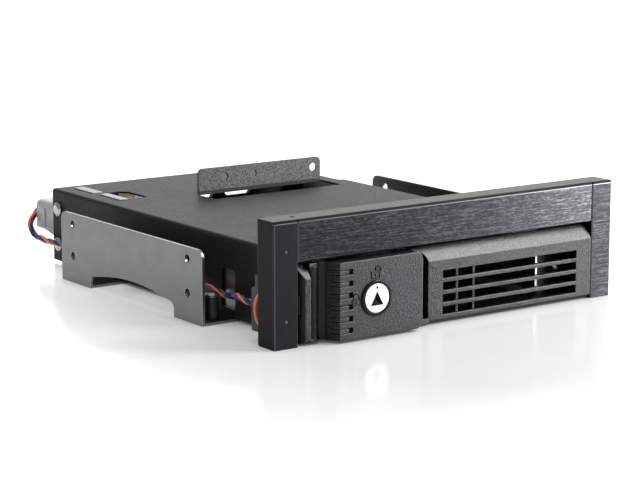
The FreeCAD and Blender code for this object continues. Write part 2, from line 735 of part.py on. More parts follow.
def build_board_sockets():
    """Two small sockets on the board's front, side by side in the panel's window."""
    body = new_body("board_sockets")
    front = panel_y - 3.6
    top = look_top - 0.6
    pad(body, "tall_socket", "Y", front, board_y, rectangle(-35.6, -30.6, top - 5.6, top))
    pad(body, "bridge", "Y", panel_y, board_y, rectangle(-31.0, -29.0, top - 5.0, top - 2.0))
    pad(body, "wide_socket", "Y", front + 0.6, board_y, rectangle(-29.4, -15.0, top - 6.2, top - 0.8))
    cut(body, "mouths", "Y", front - CLEAR, front + 3.0,
        rectangle(-34.6, -31.6, top - 4.6, top - 1.0), rectangle(-28.2, -16.2, top - 5.0, top - 2.0))


def build_drive_connector():
    """Receptacle for the drive: a long tongue and a short one in a keyed housing."""
    body = new_body("drive_connector")
    half = connector_width / 2
    pad(body, "housing", "Y", connector_front, board_y, rectangle(
        connector_x - half, connector_x + half, connector_low, connector_high))
    cut(body, "sockets", "Y", connector_front, connector_front + 5.5,
        rectangle(connector_x - half + 2.2, connector_x + 3.2, connector_low + 1.0, connector_high - 1.0),
        rectangle(connector_x + 4.6, connector_x + half - 2.2, connector_low + 1.0, connector_high - 1.0))
    middle = (connector_low + connector_high) / 2
    pad(body, "tongues", "Y", connector_front + 0.8, connector_front + 6.0,
        rectangle(connector_x - half + 3.4, connector_x + 2.2, middle - 0.5, middle + 0.5),
        rectangle(connector_x + 5.6, connector_x + half - 3.4, middle - 0.5, middle + 0.5))


header_left = cage_left + 1.6
header_right = header_left + mm.header_width
header_back = cage_back + mm.header_overhang
header_low, header_high = 11.2, 22.2
header_middle = (header_low + header_high) / 2
header_floor = header_back - 10.0             # bottom of the shroud that the pins stand in
pin_places = [header_left + mm.header_width / 2 + mm.pin_pitch * step for step in (-1.5, -0.5, 0.5, 1.5)]


def build_power_header():
    """Nylon shroud round four pins, open at the back, with a shelf below for its latch."""
    body = new_body("power_header")
    wall = mm.header_wall
    pad(body, "housing", "Y", board_back, header_back, outline(
        (header_left, header_low), (header_right, header_low), (header_right, header_high, 2.6),
        (header_left, header_high, 2.6)))
    cut(body, "cavity", "Y", header_floor, header_back + CLEAR, outline(
        (header_left + wall, header_low + wall), (header_right - wall, header_low + wall),
        (header_right - wall, header_high - wall, 1.4), (header_left + wall, header_high - wall, 1.4)))
    pad(body, "latch_shelf", "X", header_left, header_right - 6, outline(
        (board_back, header_low - 2.2), (cage_back + 1, header_low - 1.8),
        (header_back - 4, header_low + 0.4), (board_back, header_low + 0.4)))
    pad(body, "side_rib", "X", header_left - 0.6, header_left + 0.3, rectangle(
        header_back - 7.5, header_back - 5.5, header_low + 1, header_high - 2.8))


def build_power_pins():
    pin = new_body("power_pin_master")
    sub_parts.remove(pin)
    pad(pin, "pin", "Z", 0, 5.0, circle(0, 0, mm.power_pin))
    group("power_pins", pin, [(x, header_floor, header_middle, FACING_BACK) for x in pin_places])


data_left, data_right = 4.0, 21.0
data_low, data_high = 6.0, 11.6


def build_data_header():
    body = new_body("data_header")
    end = board_back + 11.0
    pad(body, "housing", "Y", board_back, end, rectangle(data_left, data_right, data_low, data_high))
    cut(body, "socket", "Y", end - 6, end + CLEAR, outline(
        (data_left + 1.6, data_low + 1.0), (data_right - 1.6, data_low + 1.0),
        (data_right - 1.6, data_high - 1.0), (data_right - 3.2, data_high - 1.0),
        (data_right - 3.2, data_low + 2.6), (data_left + 1.6, data_low + 2.6)))


LEAD_ROUTE = [      # x, behind the bezel face, z: out of the back plug, round and along the left wall
    (-31.0, 178.2, 19.5), (-31.0, 183.0, 19.5), (-33.35, 187.05, 19.6), (-37.4, 189.4, 19.8),
    (-46.5, 189.4, 20.0), (-54.5, 189.4, 18.9), (-60.0, 188.9, 14.4), (-62.6, 183.8, 10.0),
    (-62.7, 176.6, 8.8), (-62.9, 165.0, 8.6), (-64.6, 148.0, 11.0), (-65.0, 115.0, 14.2),
    (-65.0, 98.0, 14.2), (-63.4, 69.0, 11.8), (-61.6, 53.0, 9.4), (-61.7, 44.5, 9.0), (-65.0, 31.0, 11.6),
    (-67.3, 23.6, 11.3), (-67.3, 19.3, 11.3),
]
LOOP_ROUTE = [      # the single wire that bows out beside the plug behind the bezel
    (-70.3, 6.1, 17.6), (-70.3, 13.0, 17.2), (-70.4, 15.6, 11.0), (-70.3, 13.0, 5.2),
    (-70.3, 6.1, 4.8),
]
lead_plug_x, lead_plug_end, lead_plug_z = LEAD_ROUTE[0]
clip_x, clip_end, clip_z = LEAD_ROUTE[11]      # the lead runs straight on from here


def build_lead_plug():
    """Two row crimp housing that the twisted lead leaves from, at the back."""
    body = new_body("lead_plug")
    end = face + lead_plug_end
    pad(body, "housing", "Y", board_back, end, rectangle(
        lead_plug_x - 3.4, lead_plug_x + 3.4, lead_plug_z - 2.6, lead_plug_z + 2.6))
    pad(body, "latch", "Y", board_back + 2, end - 3, rectangle(
        lead_plug_x - 1.2, lead_plug_x + 1.2, lead_plug_z + 2.5, lead_plug_z + 3.6))


def tube(label, route, diameter):
    """A round lead: straight runs joined by arcs as large as the runs allow."""
    points = [Vector(x, face.value + y, z) for x, y, z in route]
    edges = []
    start = points[0]
    radii = []
    for before, here, after in zip(points, points[1:], points[2:]):
        back = before - here
        ahead = after - here
        reach = 0.45 * min(back.Length, ahead.Length)
        back.normalize()
        ahead.normalize()
        half = back.getAngle(ahead) / 2
        radius = reach * math.tan(half)
        middle = (back + ahead).normalize()
        entry = here + back * reach
        leave = here + ahead * reach
        crown = here + middle * (radius / math.sin(half) - radius)
        edges.append(Part.LineSegment(start, entry).toShape())
        edges.append(Part.Arc(entry, crown, leave).toShape())
        start = leave
        radii.append(radius)
    edges.append(Part.LineSegment(start, points[-1]).toShape())
    length = sum(edge.Length for edge in edges)
    wire = Part.Wire(edges)
    heading = points[1] - points[0]
    ring = Part.Wire(Part.makeCircle(diameter.value / 2, points[0], heading))
    solid = wire.makePipeShell([ring], True, False, 1)
    section = math.pi * diameter.value ** 2 / 4
    print(f"{label}: length {length:.1f} mm, radii {min(radii):.1f} to {max(radii):.1f} mm, "
          f"volume ratio {solid.Volume / (section * length):.4f}")
    feature = doc.addObject("Part::Feature", label)
    feature.Label = label
    feature.Shape = solid
    feature.Placement = Placement()
    sub_parts.append(feature)


def build_lead_clip():
    """A nylon saddle on the cage wall that the lead runs through."""
    body = new_body("lead_clip")
    end = face + clip_end - 6.0
    start = end - 7.0
    throat = mm.lead_diameter + 0.6
    top = clip_z + throat / 2 + 1.8
    foot = clip_z - throat / 2 - 1.8
    pad(body, "saddle", "Y", start, end, outline(
        (cage_left, foot), (cage_left, top), (clip_x - throat / 2 - 1.1, top, 2.0),
        (clip_x - throat / 2 - 1.1, foot, 2.0)))
    cut(body, "throat", "Y", start - CLEAR, end + CLEAR, circle(clip_x, clip_z, throat))
    cut(body, "mouth", "Y", start - CLEAR, end + CLEAR, rectangle(
        clip_x - 0.6, clip_x + 0.6, clip_z, top + CLEAR))


# ---------------------------------------------------------------- the tray
def build_tray_front():
    body = new_body("tray_front")
    brow = tray_top - mm.brow_height
    pad(body, "block", "X", tray_left, tray_right, outline(
        (face, mm.tray_foot + 1.0), (face + 1.0, mm.tray_foot), (tray_back, mm.tray_foot),
        (tray_back, tray_top), (face + mm.brow_depth, tray_top), (face, brow)))
    cut(body, "left_bevel", "Z", -CLEAR, tray_top + CLEAR, outline(
        (tray_left - CLEAR, face - CLEAR), (tray_left + 2.6, face - CLEAR), (tray_left + 2.6, face),
        (tray_left, face + mm.brow_depth), (tray_left - CLEAR, face + mm.brow_depth)))
    lug = mm.knuckle / 2 + 0.05
    bay_left_side = pivot_x - mm.knuckle / 2 - 0.25
    cut(body, "lever_bay", "Y", face - CLEAR, bay_floor, rectangle(
        bay_left_side, lever_right + 0.3, -CLEAR, tray_top + CLEAR))
    lug_shape = outline(
        (bay_left_side - 0.2, bay_floor + 0.5), (bay_left_side - 0.2, pivot_y - lug),
        (pivot_x + lug, pivot_y - lug, lug - 0.1), (pivot_x + lug, bay_floor + 0.5))
    pad(body, "lower_lug", "Z", mm.tray_foot, mm.tray_foot + 1.4, lug_shape)
    pad(body, "upper_lug", "Z", tray_top - 1.2, tray_top, lug_shape)
    pad(body, "slot_frame", "Y", face, bay_floor + 0.5, rectangle(
        lever_right + 0.3, slot_right + 0.5, mm.tray_foot, 2.5))
    cut(body, "finger_slot", "Y", face - CLEAR, face + 6.2, outline(
        (lever_right - 0.2, 2.5), (slot_right, 2.5), (slot_right, tray_top - 1.7, 3.0),
        (lever_right - 0.2, tray_top - 1.7)))
    vent_right = tray_right - mm.vent_edge
    vent_left = vent_right - mm.vent_width
    first_vent = cut(body, "vent", "Y", face - CLEAR, face + mm.skin + CLEAR, rectangle(
        vent_left, vent_right, mm.vent_foot, mm.vent_foot + mm.vent_height))
    repeat(body, "vents", first_vent, "V_Axis", mm.vent_pitch, 4)
    chamber_top = mm.vent_foot + mm.vent_pitch * 3 + mm.vent_height + 0.8
    cut(body, "chamber", "Y", face + mm.skin, tray_back + CLEAR, rectangle(
        slot_right + mm.skin, tray_right - mm.skin, mm.tray_foot + 1.8, chamber_top))
    pad(body, "vent_ribs", "Y", face + mm.skin - 0.2, face + 4.6, *[
        rectangle(vent_left + place, vent_left + place + 1.0, mm.tray_foot + 1.2, chamber_top + 0.4)
        for place in (7.2, 14.6)])
    core_low = chamber_top + mm.skin
    cut(body, "brow_cores", "Y", bay_floor, tray_back + CLEAR,
        rectangle(slot_right + mm.skin, rail_right - 14, core_low, tray_top - 1.6),
        rectangle(rail_right + mm.skin, tray_right - mm.skin, core_low, tray_top - 1.6))
    cut(body, "nose_pocket", "Y", face + 1.2, tray_back + CLEAR, rectangle(
        tray_left + 0.5, pivot_x + 1.5, nose_low - 0.4, nose_high + 0.4))
    cut(body, "pin_bore", "Z", -CLEAR, tray_top + CLEAR, circle(pivot_x, pivot_y, mm.pin_diameter))
    return body


nose_low, nose_high = 10.2, 16.8


def tray_screw_places():
    left = rail_left + 6.2
    high = tray_top - 3.1
    return [(left, 7.0), (left, high - 0.4), (rail_right - 4.2, high), (rail_right - 10.4, high)]


DRIVE_SCREWS = [28.5, 88.9, 130.1]      # from the drive's connector end


def build_rail(side):
    """A perforated side rail of the tray. Its front end turns in and screws to the tray front."""
    body = new_body("tray_rail_left" if side < 0 else "tray_rail_right")
    gauge = mm.rail_gauge
    outer = rail_left if side < 0 else rail_right
    inner = outer + gauge * -side
    low_x, high_x = (outer, inner) if side < 0 else (inner, outer)
    pad(body, "rail", "X", low_x, high_x, outline(
        (tray_back, rail_foot), (rail_back - 6, rail_foot), (rail_back, rail_foot + 2),
        (rail_back, rail_top - 2), (rail_back - 6, rail_top), (tray_back, rail_top)))
    if side < 0:
        pad(body, "foot", "Y", tray_back, tray_back + gauge, rectangle(
            outer, outer + 11, rail_foot, rail_top))
    else:
        pad(body, "foot", "Y", tray_back, tray_back + gauge, rectangle(
            outer - 13.5, outer, rail_top - 7.6, rail_top))
    drive_screws = [drive_back - place for place in DRIVE_SCREWS]
    first = tray_back + mm.oval_front
    count = int((rail_back - mm.oval_front * 2 - first).value // mm.oval_pitch.value) + 1
    columns = [first + mm.oval_pitch * n for n in range(count)]
    if side < 0:
        columns = [y for y in columns if abs((y - (window_front + window_back) / 2).value) > 8]
    clear = [y for y in columns
             if all(abs((y - screw).value) > mm.oval_length.value * 0.75 for screw in drive_screws)]
    for row, row_columns in enumerate([clear, clear, columns]):
        z = rail_foot + mm.oval_foot + mm.oval_rise * row
        cut(body, f"vents_{row}", "X", low_x - CLEAR, high_x + CLEAR,
            *[slot(y, z, mm.oval_length, mm.oval_width) for y in row_columns])
    drive_foot = floor_top + 0.15
    cut(body, "drive_bores", "X", low_x - CLEAR, high_x + CLEAR,
        *[circle(y, drive_foot + mm.drive_hole_rise, 3.4) for y in drive_screws])
    return body


def build_lever_catch():
    """A leaf spring on the bay floor whose crest bears on the lever's free end."""
    body = new_body("lever_catch")
    floor = bay_floor
    crest = lever_back + 0.15
    end = lever_right
    pad(body, "leaf", "Z", 5.0, 9.6, outline(
        (end - 14, floor), (end - 14, floor - 0.3), (end - 4.2, floor - 0.3), (end - 1.5, crest),
        (end - 0.5, crest), (end, crest + 0.3), (end - 0.7, crest + 0.3), (end - 1.4, crest + 0.3),
        (end - 4.0, floor)))


# ---------------------------------------------------------------- lever and lock
def build_lever():
    body = new_body("lever")
    wall = mm.lever_wall
    shell = outline(
        (lever_left, lever_back), (lever_left, face + 1.2), (lever_left + 1.7, face + 0.8),
        (lever_left + 4.2, lever_face), (lever_right, lever_face), (lever_right, lever_back))
    pad(body, "shell", "Z", lever_foot, tray_top, shell)
    dress(body, "Fillet", "free_corners", 2.5, lambda edge: runs_along(edge, "Y")
          and is_at(edge, x=lever_right) and edge.Length > 5)
    cut(body, "hollow", "Z", lever_foot + wall, tray_top - wall, outline(
        (lever_left + wall, lever_back + CLEAR), (lever_left + wall, face + 2.4),
        (lever_left + wall + 1.4, face + 2.0), (lever_left + wall + 3.8, lever_face + wall),
        (lever_right - wall, lever_face + wall), (lever_right - wall, lever_back + CLEAR)))
    grip_foot = lever_foot + 3.15             # middle of the lowest grip bar
    grip_rows = int((tray_top - lever_foot - 2.2).value // mm.grip_pitch.value)
    knuckle_low, knuckle_high = mm.tray_foot + 1.55, tray_top - 1.35
    pad(body, "knuckle", "Z", knuckle_low, knuckle_high, circle(pivot_x, pivot_y, mm.knuckle))
    pad(body, "neck", "Z", knuckle_low, knuckle_high, rectangle(
        pivot_x, lever_left + 0.4, pivot_y - 0.9, pivot_y + 0.9))
    pad(body, "nose", "Z", nose_low, nose_high, outline(
        (pivot_x - mm.nose_reach, pivot_y - 0.9, 0.5), (pivot_x, pivot_y - 0.9),
        (pivot_x, pivot_y + 0.3), (pivot_x - mm.nose_reach, pivot_y + 0.3, 0.5)))
    cut(body, "pin_bore", "Z", -CLEAR, tray_top + CLEAR,
        circle(pivot_x, pivot_y, mm.pin_diameter + mm.fit_gap * 2))
    bevel_x = lever_left + 1.7                # foot of the bevel, where it meets the neck
    grip_start = face - 1.0
    for edge, rise in (("low", -0.95), ("high", 0.55)):
        height = grip_foot + rise
        groove = cut(body, f"groove_{edge}", "Z", height, height + 0.4, outline(
            (bevel_x - CLEAR, grip_start), (bevel_x + 1.5, grip_start),
            (lever_left + 4.6, lever_face + 0.7), (lever_left + 7.8, lever_face + 0.7),
            (lever_left + 7.8, lever_face - CLEAR), (bevel_x - CLEAR, lever_face - CLEAR)))
        repeat(body, f"grooves_{edge}", groove, "N_Axis", mm.grip_pitch, grip_rows)
    eye = cut(body, "groove_eye", "Y", lever_face - CLEAR, lever_face + 1.2, rectangle(
        lever_left + 7.7, lever_left + 9.5, grip_foot - 0.95, grip_foot + 0.95))
    repeat(body, "groove_eyes", eye, "V_Axis", mm.grip_pitch, grip_rows)
    cut(body, "lock_bore", "Y", lever_face - CLEAR, lever_face + wall + CLEAR,
        circle(lock_x, lock_z, mm.lock_sleeve))
    cut(body, "bolt_slot", "Z", tray_top - wall - CLEAR, tray_top + CLEAR, rectangle(
        lock_x - mm.cam_width / 2 - mm.slide_gap, lock_x + cam_reach * 0.78,
        cam_front - mm.slide_gap, cam_back + mm.slide_gap))
    return body


def build_lever_pin():
    body = new_body("lever_pin")
    pad(body, "pin", "Z", mm.tray_foot + 0.3, tray_top - 0.2,
        circle(pivot_x, pivot_y, mm.pin_diameter))


def build_lock_collar():
    """The lock's fixed housing: a collar on the lever's face and a threaded sleeve through it."""
    body = new_body("lock_collar")
    lip = mm.lock_ring / 2
    sleeve = mm.lock_sleeve / 2
    seat = mm.lock_face / 2 + mm.fit_gap
    bore = mm.lock_shank / 2 + mm.fit_gap
    front = mm.lock_proud
    back = -(cam_front - lever_face) + 0.2
    turn(body, "collar", (bore, back), (sleeve, back), (sleeve, 0), (lip, 0), (lip, front - 0.3),
         (lip - 0.3, front), (seat, front), (seat, -0.7), (bore, -0.7))
    body.Placement = lock_placement


lock_placement = Placement(Vector(lock_x.value, lever_face.value, lock_z.value), FACING_FRONT)


def build_lock_nut():
    body = new_body("lock_nut")
    start = lever_face + mm.lever_wall
    reach = mm.lock_sleeve / 2 + 2.1
    pad(body, "nut", "Y", start, start + 2.0, outline(*[
        (lock_x + math.cos(math.radians(60 * n)) * reach, lock_z + math.sin(math.radians(60 * n)) * reach)
        for n in range(6)]))
    cut(body, "bore", "Y", start - CLEAR, start + 2.0 + CLEAR, circle(lock_x, lock_z, mm.lock_sleeve))


tail_reach = cam_back - lever_face


def build_lock_barrel():
    """The turning plug: a face with a three sided recess for the key, a shank and a square tail."""
    body = new_body("lock_barrel")
    face_edge = mm.lock_face / 2
    shank = mm.lock_shank / 2
    front = mm.lock_proud - 0.1
    back = -(cam_front - lever_face)
    turn(body, "plug", (0, back), (shank, back), (shank, -0.6), (face_edge, -0.6),
         (face_edge, front - 0.2), (face_edge - 0.2, front), (0, front))
    half_tail = 1.8
    pad(body, "tail", "Z", -tail_reach, back + 0.1, rectangle(-half_tail, half_tail, -half_tail, half_tail))
    mouth = sketch(body, "key_mouth", "Z", front, [outline((-2.7, -2.5), (2.7, -2.5), (0, 2.4))])
    heart = sketch(body, "key_heart", "Z", front - 1.0, [outline((-0.3, -1.0), (0.3, -1.0), (0, -0.5))])
    recess = body.newObject("PartDesign::SubtractiveLoft", "key_recess")
    recess.Profile = mouth
    recess.Sections = [heart]
    recess.Ruled = True
    body.Tip = recess
    doc.recompute()
    cut(body, "index_dot", "Z", front - 0.4, front, circle(0, 3.5, 0.9))
    body.Placement = lock_placement


def build_lock_cam():
    """The flat bolt on the barrel's tail. It points right, and turns up into the bezel frame."""
    body = new_body("lock_cam")
    half = mm.cam_width / 2
    half_tail = 1.8 + mm.fit_gap.value
    pad(body, "bolt", "Y", cam_front, cam_back, rectangle(
        lock_x - 3.4, lock_x + cam_reach, lock_z - half, lock_z + half, 1.2))
    cut(body, "tail_hole", "Y", cam_front - CLEAR, cam_back + CLEAR, rectangle(
        lock_x - half_tail, lock_x + half_tail, lock_z - half_tail, lock_z + half_tail))


# ---------------------------------------------------------------- fasteners
def screw_master(name):
    """A pan head, seat down. Its shank is left out where nothing shows it."""
    body = new_body(name)
    sub_parts.remove(body)
    head = mm.screw_head / 2
    turn(body, "head", (0, 0), (head, 0), (head, mm.head_rise * 0.5), (head - 1.0, mm.head_rise),
         (0, mm.head_rise))
    return body


def hex_master(name):
    """A six sided head, seat down."""
    body = new_body(name)
    sub_parts.remove(body)
    reach = mm.screw_head / 2
    pad(body, "head", "Z", 0, mm.head_rise, outline(*[
        (reach * math.cos(math.radians(60 * n)), reach * math.sin(math.radians(60 * n)))
        for n in range(6)]))
    return body


def build_fasteners():
    pan = screw_master("pan_head")
    hexagon = hex_master("hex_head")
    group("wall_screws", pan,
          [(cage_left, wall_screw_y, z, FACING_LEFT) for z in wall_screw_z]
          + [(cage_right, wall_screw_y, z, FACING_RIGHT) for z in wall_screw_z])
    group("web_screw", pan, [(web_screw_x, web_front, web_screw_z, FACING_FRONT)])
    group("bezel_screws", hexagon, [
        (x, bezel_back + mm.sheet_gauge, boss_z, FACING_BACK) for x in boss_places])
    group("tray_screws", hexagon, [
        (x, tray_back + mm.rail_gauge, z, FACING_BACK) for x, z in tray_screw_places()])
    group("board_screws", hexagon, [(x, board_back, z, FACING_BACK) for x, z in board_screws])
    rivet = new_body("rivet_master")
    sub_parts.remove(rivet)
    pad(rivet, "head", "Z", 0, mm.head_rise * 0.4, circle(0, 0, mm.screw_thread))
    group("bracket_rivets", rivet, [(x, y, floor_top, UPRIGHT) for x, y in rivet_places()])


def build_spacer():
    """A black standoff on the left bracket's foot, closed by a screw."""
    x, y = bay_left + 7.0, face + 48.0
    top = mm.bracket_gauge + 7.8
    post = new_body("spacer_post")
    pad(post, "post", "Z", mm.bracket_gauge, top, circle(x, y, mm.screw_head - 0.4))
    group("spacer_screw", screw_master("spacer_head"), [(x, y, top, UPRIGHT)])


# ---------------------------------------------------------------- build, check and write
build_bezel_frame()
build_bezel_plates()
build_light_board()
build_lights()
build_light_plug()
build_cage_shell()
build_cage_floor()
build_runner("runner_left", inner_left, inner_left + mm.runner_width)
build_runner("runner_right", inner_right - mm.runner_width, inner_right)
build_roof_labels()
build_bracket(-1)
build_bracket(1)
build_back_panel()
build_backplane()
build_board_sockets()
build_drive_connector()
build_power_header()
build_power_pins()
build_data_header()
build_lead_plug()
tube("led_lead", LEAD_ROUTE, mm.lead_diameter)
tube("led_loop", LOOP_ROUTE, mm.lead_diameter / 2)
build_lead_clip()
build_tray_front()
build_rail(-1)
build_rail(1)
build_lever_catch()
build_lever_pin()
build_lever()
build_lock_collar()
build_lock_nut()
build_lock_barrel()
build_lock_cam()
build_fasteners()
build_spacer()
doc.recompute()

for item in doc.Objects:
    if "Invalid" in item.State or "Error" in item.State:
        raise RuntimeError(f"{item.Label} did not recompute: {item.State}")
for part in sub_parts:
    if part.Shape.isNull() or not part.Shape.isValid():
        raise RuntimeError(f"{part.Label} has no valid shape")

os.makedirs("parts", exist_ok=True)
for part in sub_parts:
    part.Shape.exportStep(f"parts/{part.Label}.step")
print(f"{len(sub_parts)} sub-parts written")
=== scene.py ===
# %% [markdown]
# # A hot swap drive cage
# The cage slides into a wide drive bay: a brushed bezel in front, a tray on perforated rails
# behind a grille, a lever that folds flat and locks with a round key, a folded sheet cage with
# two bay brackets, and a twisted lead that runs along the left wall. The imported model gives
# every rigid piece in its place, so this notebook dresses it: finishes first, then the soft
# leads and the small raised marks, and last the studio.

# %% Load the model
import math

import bmesh
import bpy
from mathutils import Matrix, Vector


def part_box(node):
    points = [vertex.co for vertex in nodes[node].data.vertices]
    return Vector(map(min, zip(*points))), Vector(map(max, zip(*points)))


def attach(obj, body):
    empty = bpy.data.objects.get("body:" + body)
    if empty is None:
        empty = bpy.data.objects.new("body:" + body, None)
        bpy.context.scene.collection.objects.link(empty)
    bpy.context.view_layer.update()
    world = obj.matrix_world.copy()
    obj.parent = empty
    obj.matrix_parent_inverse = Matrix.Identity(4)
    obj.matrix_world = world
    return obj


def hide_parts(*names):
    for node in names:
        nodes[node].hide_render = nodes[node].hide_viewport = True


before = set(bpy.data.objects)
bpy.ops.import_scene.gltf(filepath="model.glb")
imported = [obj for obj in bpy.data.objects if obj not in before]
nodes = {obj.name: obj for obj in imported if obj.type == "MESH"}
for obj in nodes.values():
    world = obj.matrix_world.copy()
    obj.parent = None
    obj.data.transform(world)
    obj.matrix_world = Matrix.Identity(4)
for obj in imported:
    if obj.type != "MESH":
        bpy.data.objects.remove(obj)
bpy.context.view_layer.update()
MM = 0.001

# %% [markdown]
# ## Landmarks
# Everything that is added later sits on some piece of the cage. These few planes are read once
# from the boxes of the nodes, so each later step says what it sits on and not where that is.

# %% Landmarks
bezel_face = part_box("bezel_top_strip")[0].y
lever_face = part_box("lever")[0].y
lock_low, lock_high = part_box("lock_collar")
lock_centre = (lock_low + lock_high) / 2
barrel_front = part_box("lock_barrel")[0].y
bezel_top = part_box("bezel_top_strip")[1].z
TAB_CLEARANCE = 0.5 * MM
tab_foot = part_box("roof_labels")[1].z + TAB_CLEARANCE
print(f"bezel face at {bezel_face / MM:.1f} mm")
print(f"lock at x {lock_centre.x / MM:.1f} mm, z {lock_centre.z / MM:.1f} mm")

# %% [markdown]
# ## The camera
# A long lens from the front left, a little above the bezel, shows the face, the left side and
# a sliver of the roof. A long lens keeps the edges nearly parallel, as in a catalogue picture.
# The camera is set before any finish, because grain and speckle are judged at its distance.

# %% Where the camera stands
AZIMUTH = math.radians(-35.716)
ELEVATION = math.radians(10.80)
DISTANCE = 0.74976
LOOK_BEHIND_FACE = 60 * MM
look_at = Vector((-12.05 * MM, bezel_face + LOOK_BEHIND_FACE, 20.36 * MM))
outward = Vector((math.sin(AZIMUTH) * math.cos(ELEVATION),
                  -math.cos(AZIMUTH) * math.cos(ELEVATION), math.sin(ELEVATION)))
print(f"the camera looks at {[round(value / MM) for value in look_at]} mm")

# %% The camera
camera = bpy.data.objects.new("camera", bpy.data.cameras.new("camera"))
camera.data.sensor_width = 36.0
camera.data.lens = 117.77
camera.data.clip_start = 10 * MM
camera.location = look_at + outward * DISTANCE
camera.rotation_euler = (-outward).to_track_quat("-Z", "Y").to_euler()
bpy.context.scene.collection.objects.link(camera)
bpy.context.scene.camera = camera
print("camera at", [round(value, 3) for value in camera.location])

# %% [markdown]
# ## Writing finishes
# Each finish is a small graph: a place on the piece, a pattern at that place, and the shader.
# `Finish` keeps the graph's tree and adds one node at a time, so a finish reads from top to
# bottom. All patterns use object coordinates, which are metres here, so a scale of 1000 makes
# features about a millimetre wide on every piece. Colours are linear, so 0.01 is a deep black
# and 0.2 a middle grey.

# %% A helper for finishes
EDGE_SAMPLES = 6
SHADE_SAMPLES = 4


class Finish:
    """A material whose nodes are added one by one, from a plain colour and gloss."""

    def __init__(self, name, color, roughness, metallic=0.0):
        self.material = bpy.data.materials.new(name)
        self.material.use_nodes = True
        self.tree = self.material.node_tree
        self.shader = self.tree.nodes["Principled BSDF"]
        self.shader.inputs["Base Color"].default_value = (*color, 1)
        self.shader.inputs["Roughness"].default_value = roughness
        self.shader.inputs["Metallic"].default_value = metallic
        self.place = self.add("ShaderNodeTexCoord").outputs["Object"]

    def add(self, kind, **inputs):
        node = self.tree.nodes.new(kind)
        for name, value in inputs.items():
            self.put(node, name.replace("_", " "), value)
        return node

    def put(self, node, name, value):
        socket = node.inputs[int(name)] if name.isdigit() else node.inputs[name]
        if isinstance(value, bpy.types.NodeSocket):
            self.tree.links.new(value, socket)
        else:
            socket.default_value = value

    def stretched(self, x, y, z):
        """Object coordinates scaled along each axis, for grain that runs one way."""
        node = self.add("ShaderNodeMapping", Vector=self.place)
        node.inputs["Scale"].default_value = (x, y, z)
        return node.outputs["Vector"]

    def noise(self, scale, detail=2.0, place=None):
        where = place or self.place
        node = self.add("ShaderNodeTexNoise", Vector=where, Scale=scale, Detail=detail)
        return node.outputs["Fac"]

    def ramp(self, value, *stops):
        """Colours along a value. A stop is (position, grey) or (position, (r, g, b))."""
        node = self.add("ShaderNodeValToRGB", Fac=value)
        while len(node.color_ramp.elements) < len(stops):
            node.color_ramp.elements.new(0.5)
        for element, (position, color) in zip(node.color_ramp.elements, stops):
            element.position = position
            element.color = (color, color, color, 1) if isinstance(color, float) else (*color, 1)
        return node.outputs["Color"]

    def mix(self, share, first, second, blend="MIX"):
        node = self.add("ShaderNodeMix")
        node.data_type = "RGBA"
        node.blend_type = blend
        self.put(node, "0", share)
        self.put(node, "6", first)
        self.put(node, "7", second)
        return node.outputs[2]

    def math(self, operation, first, second=0.0):
        node = self.add("ShaderNodeMath")
        node.operation = operation
        self.put(node, "0", first)
        self.put(node, "1", second)
        return node.outputs[0]

    def soft_edges(self, radius):
        """A normal that rolls over the edges, as a moulded or broken edge does."""
        node = self.add("ShaderNodeBevel", Radius=radius)
        node.samples = EDGE_SAMPLES
        return node.outputs["Normal"]

    def edge_mask(self, radius):
        """One on the edges and nothing on the flats."""
        flat = self.add("ShaderNodeNewGeometry").outputs["True Normal"]
        node = self.add("ShaderNodeVectorMath")
        node.operation = "DOT_PRODUCT"
        self.tree.links.new(self.soft_edges(radius), node.inputs[0])
        self.tree.links.new(flat, node.inputs[1])
        return self.ramp(node.outputs["Value"], (0.80, 1.0), (0.985, 0.0))

    def facing(self, x, y, z):
        """How far a surface faces one way, from -1 to 1, by its true normal."""
        flat = self.add("ShaderNodeNewGeometry").outputs["True Normal"]
        node = self.add("ShaderNodeVectorMath")
        node.operation = "DOT_PRODUCT"
        self.tree.links.new(flat, node.inputs[0])
        node.inputs[1].default_value = (x, y, z)
        return node.outputs["Value"]

    def along(self, axis):
        """The place along one axis, in metres."""
        return self.add("ShaderNodeSeparateXYZ", Vector=self.place).outputs[axis]

    def open_sky(self, reach):
        """One in the open and less in grooves and slots, where little light gets in."""
        node = self.add("ShaderNodeAmbientOcclusion", Distance=reach)
        node.samples = SHADE_SAMPLES
        return node.outputs["AO"]

    def bump(self, height, strength, distance, normal=None):
        node = self.add("ShaderNodeBump", Strength=strength, Distance=distance, Height=height)
        if normal is not None:
            self.tree.links.new(normal, node.inputs["Normal"])
        return node.outputs["Normal"]

    def set(self, **sockets):
        for name, value in sockets.items():
            self.put(self.shader, name.replace("_", " "), value)
        return self


def dress(finish, *names):
    """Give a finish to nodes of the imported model."""
    for name in names:
        mesh = nodes[name].data
        mesh.materials.clear()
        mesh.materials.append(finish.material)
    print(f"{finish.material.name}: {', '.join(names)}")


# %% [markdown]
# ## Brushed bezel plates
# The wide bar and the right cap are dressed as aluminium, brushed from side to side and dyed
# black. A brushed surface is thousands of fine scratches: two noises stretched hard along one
# axis give them, and the same pattern drives colour, gloss and bump. The shader's anisotropy
# draws the highlight out across the scratches, so the bar turns from black to pale along its
# length. The left cap is blasted smooth, so it gets an even fine grain instead.

# %% Lines along the plates
SOFT_END = 0.05 * MM
BLACK_BAND = 0.75 * MM
HIGHLIGHT_LINE_WIDTH = 0.30 * MM
GAP_BLACK = (0.002, 0.002, 0.002, 1)
LINE_HIGHLIGHT = (0.13, 0.13, 0.14, 1)
CHAMFER_HIGHLIGHT = (0.10, 0.10, 0.105, 1)
DIAGONAL = 0.707


